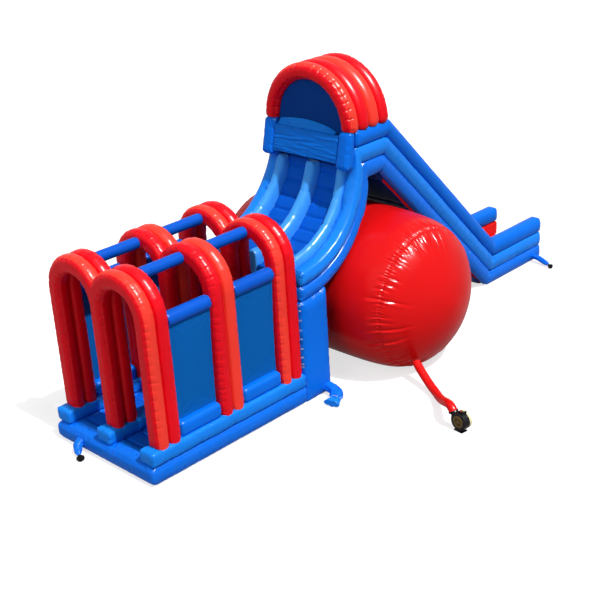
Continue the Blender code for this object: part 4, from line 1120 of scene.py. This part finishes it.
def on_blower(piece, name, finish):
    """Turn a piece made round the fan's own axis to its place, and finish it."""
    piece.name = name
    piece.matrix_world = BLOWER_TURN @ piece.matrix_world
    choose(piece)
    bpy.ops.object.transform_apply()
    bpy.ops.object.shade_smooth_by_angle(angle=math.radians(35.0))
    piece.data.materials.append(finish)
    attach(piece, "course")


def rod(sides, radius, depth, place):
    """A short rod along X."""
    bpy.ops.mesh.primitive_cylinder_add(vertices=sides, radius=radius, depth=depth, location=place,
                                        rotation=SIDEWAYS)
    return bpy.context.object


def turned_disc(x, radius, depth, steps):
    """A disc across X whose outer face is inset and pushed by each (inset, push) of steps."""
    disc = rod(72, radius, depth, (x, 0.0, 0.0))
    bpy.ops.object.transform_apply()
    bpy.ops.object.mode_set(mode="EDIT")
    bpy.ops.mesh.select_mode(type="FACE")
    form = bmesh.from_edit_mesh(disc.data)
    for face in form.faces:
        face.select = face.normal.x > 0.9
    bmesh.update_edit_mesh(disc.data)
    for inset, push in steps:
        bpy.ops.mesh.inset(thickness=inset, depth=0.0)
        bpy.ops.transform.translate(value=(push, 0.0, 0.0))
    bpy.ops.object.mode_set(mode="OBJECT")
    return disc


cover = turned_disc(0.110, 0.203, 0.058,
                    ((0.006, 0.008), (0.020, 0.008), (0.060, 0.0), (0.006, -0.008), (0.020, 0.0)))
on_blower(cover, "blower_rear_cover", cream)

inlet_ring = ring(0.131, 0.008, (-0.081, 0.0, 0.0), SIDEWAYS, steps=72, sides=12)
on_blower(inlet_ring, "inlet_ring", hard["blower_gold"])

bolts = []
for step in range(BOLT_COUNT):
    turn = (step + 0.5) * 2 * math.pi / BOLT_COUNT
    bolt = rod(6, 0.008, 0.010, (INLET_X, BOLT_CIRCLE * math.cos(turn), BOLT_CIRCLE * math.sin(turn)))
    bevel = bolt.modifiers.new("edge", "BEVEL")
    bevel.width = 0.0012
    bpy.ops.object.modifier_apply(modifier="edge")
    bolts.append(bolt)
on_blower(joined(*bolts), "scroll_bolts", hard["motor_grey"])

nozzle_start = Vector((0.0, math.sin(NOZZLE_RISE), -math.cos(NOZZLE_RISE))) * NOZZLE_OFFSET
nozzle_along = Vector((0.0, math.cos(NOZZLE_RISE), math.sin(NOZZLE_RISE)))
bands = []
for reach, radius in ((0.012, 0.100), (0.034, 0.102)):
    place = nozzle_start + nozzle_along * (NOZZLE_REACH + reach)
    bands.append(ring(radius, 0.011, place, (NOZZLE_RISE - math.pi / 2, 0.0, 0.0)))
on_blower(joined(*bands), "duct_strap", hard["blower_black"])
print("blower dressed")

# %% [markdown]
# ## Light and ground
# A sun lamp stands high on the near side, and a weak, wide one lights the faces of the entrance. The
# bright haze round the sun, which shows only as gloss, is a third. The world fills in the shade, and
# is white to the camera. The ground is dark to all but the camera, to which it also glows, so it throws
# little light on the slide, and the slide's shadow on it is faint.

# %% Light the scene
SUN_FROM = Vector((0.02, -0.50, 0.86))
FILL_FROM = Vector((-0.78, -0.10, 0.62))
BLACK = (0.0, 0.0, 0.0, 1.0)
WHITE = (1.0, 1.0, 1.0, 1.0)
SHADE_LEVEL = 0.22


def sun_lamp(name, source, energy, degrees):
    """A lamp as far off as the sun, shining from a direction, with a disc so many degrees wide."""
    bpy.ops.object.light_add(type="SUN")
    lamp = bpy.context.object
    lamp.name = name
    lamp.data.energy = energy
    lamp.data.angle = math.radians(degrees)
    lamp.rotation_euler = source.to_track_quat("Z", "Y").to_euler()
    return lamp


sun_lamp("sun_lamp", SUN_FROM, energy=3.3, degrees=1.5)
fill = sun_lamp("fill_lamp", FILL_FROM, energy=0.95, degrees=40.0)
fill.visible_glossy = False
haze = sun_lamp("haze_lamp", SUN_FROM, energy=20.0, degrees=18.0)
haze.visible_diffuse = False
haze.visible_transmission = False

world = bpy.data.worlds.new("pale_world")
bpy.context.scene.world = world
world.use_nodes = True
brightness = Shade(world.node_tree, None).shown().clamp(0.0, 1.0, SHADE_LEVEL, 1.0)
feed(world.node_tree.nodes["Background"], {"Color": WHITE, "Strength": brightness})

bpy.ops.mesh.primitive_plane_add(size=400.0, location=(0.0, 0.0, -0.002))
ground = bpy.context.object
ground.name = "ground"
bpy.ops.object.transform_apply()
pale, ground_shader, ground_place = start_material("pale_ground")
to_camera = ground_place.ray("Is Camera Ray")
feed(ground_shader, {"Base Color": (to_camera * 0.26 + 0.14).blend(BLACK, WHITE), "Roughness": 0.9,
                     "Emission Color": WHITE,
                     "Emission Strength": to_camera * 0.46 + ground_place.shown() * 0.24})
ground.data.materials.append(pale)
ground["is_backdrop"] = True

bpy.context.scene.view_settings.view_transform = "Standard"

# %% Sizes, and the end
low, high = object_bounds()
print("visual box", [round(value, 3) for value in (*low, *high)])
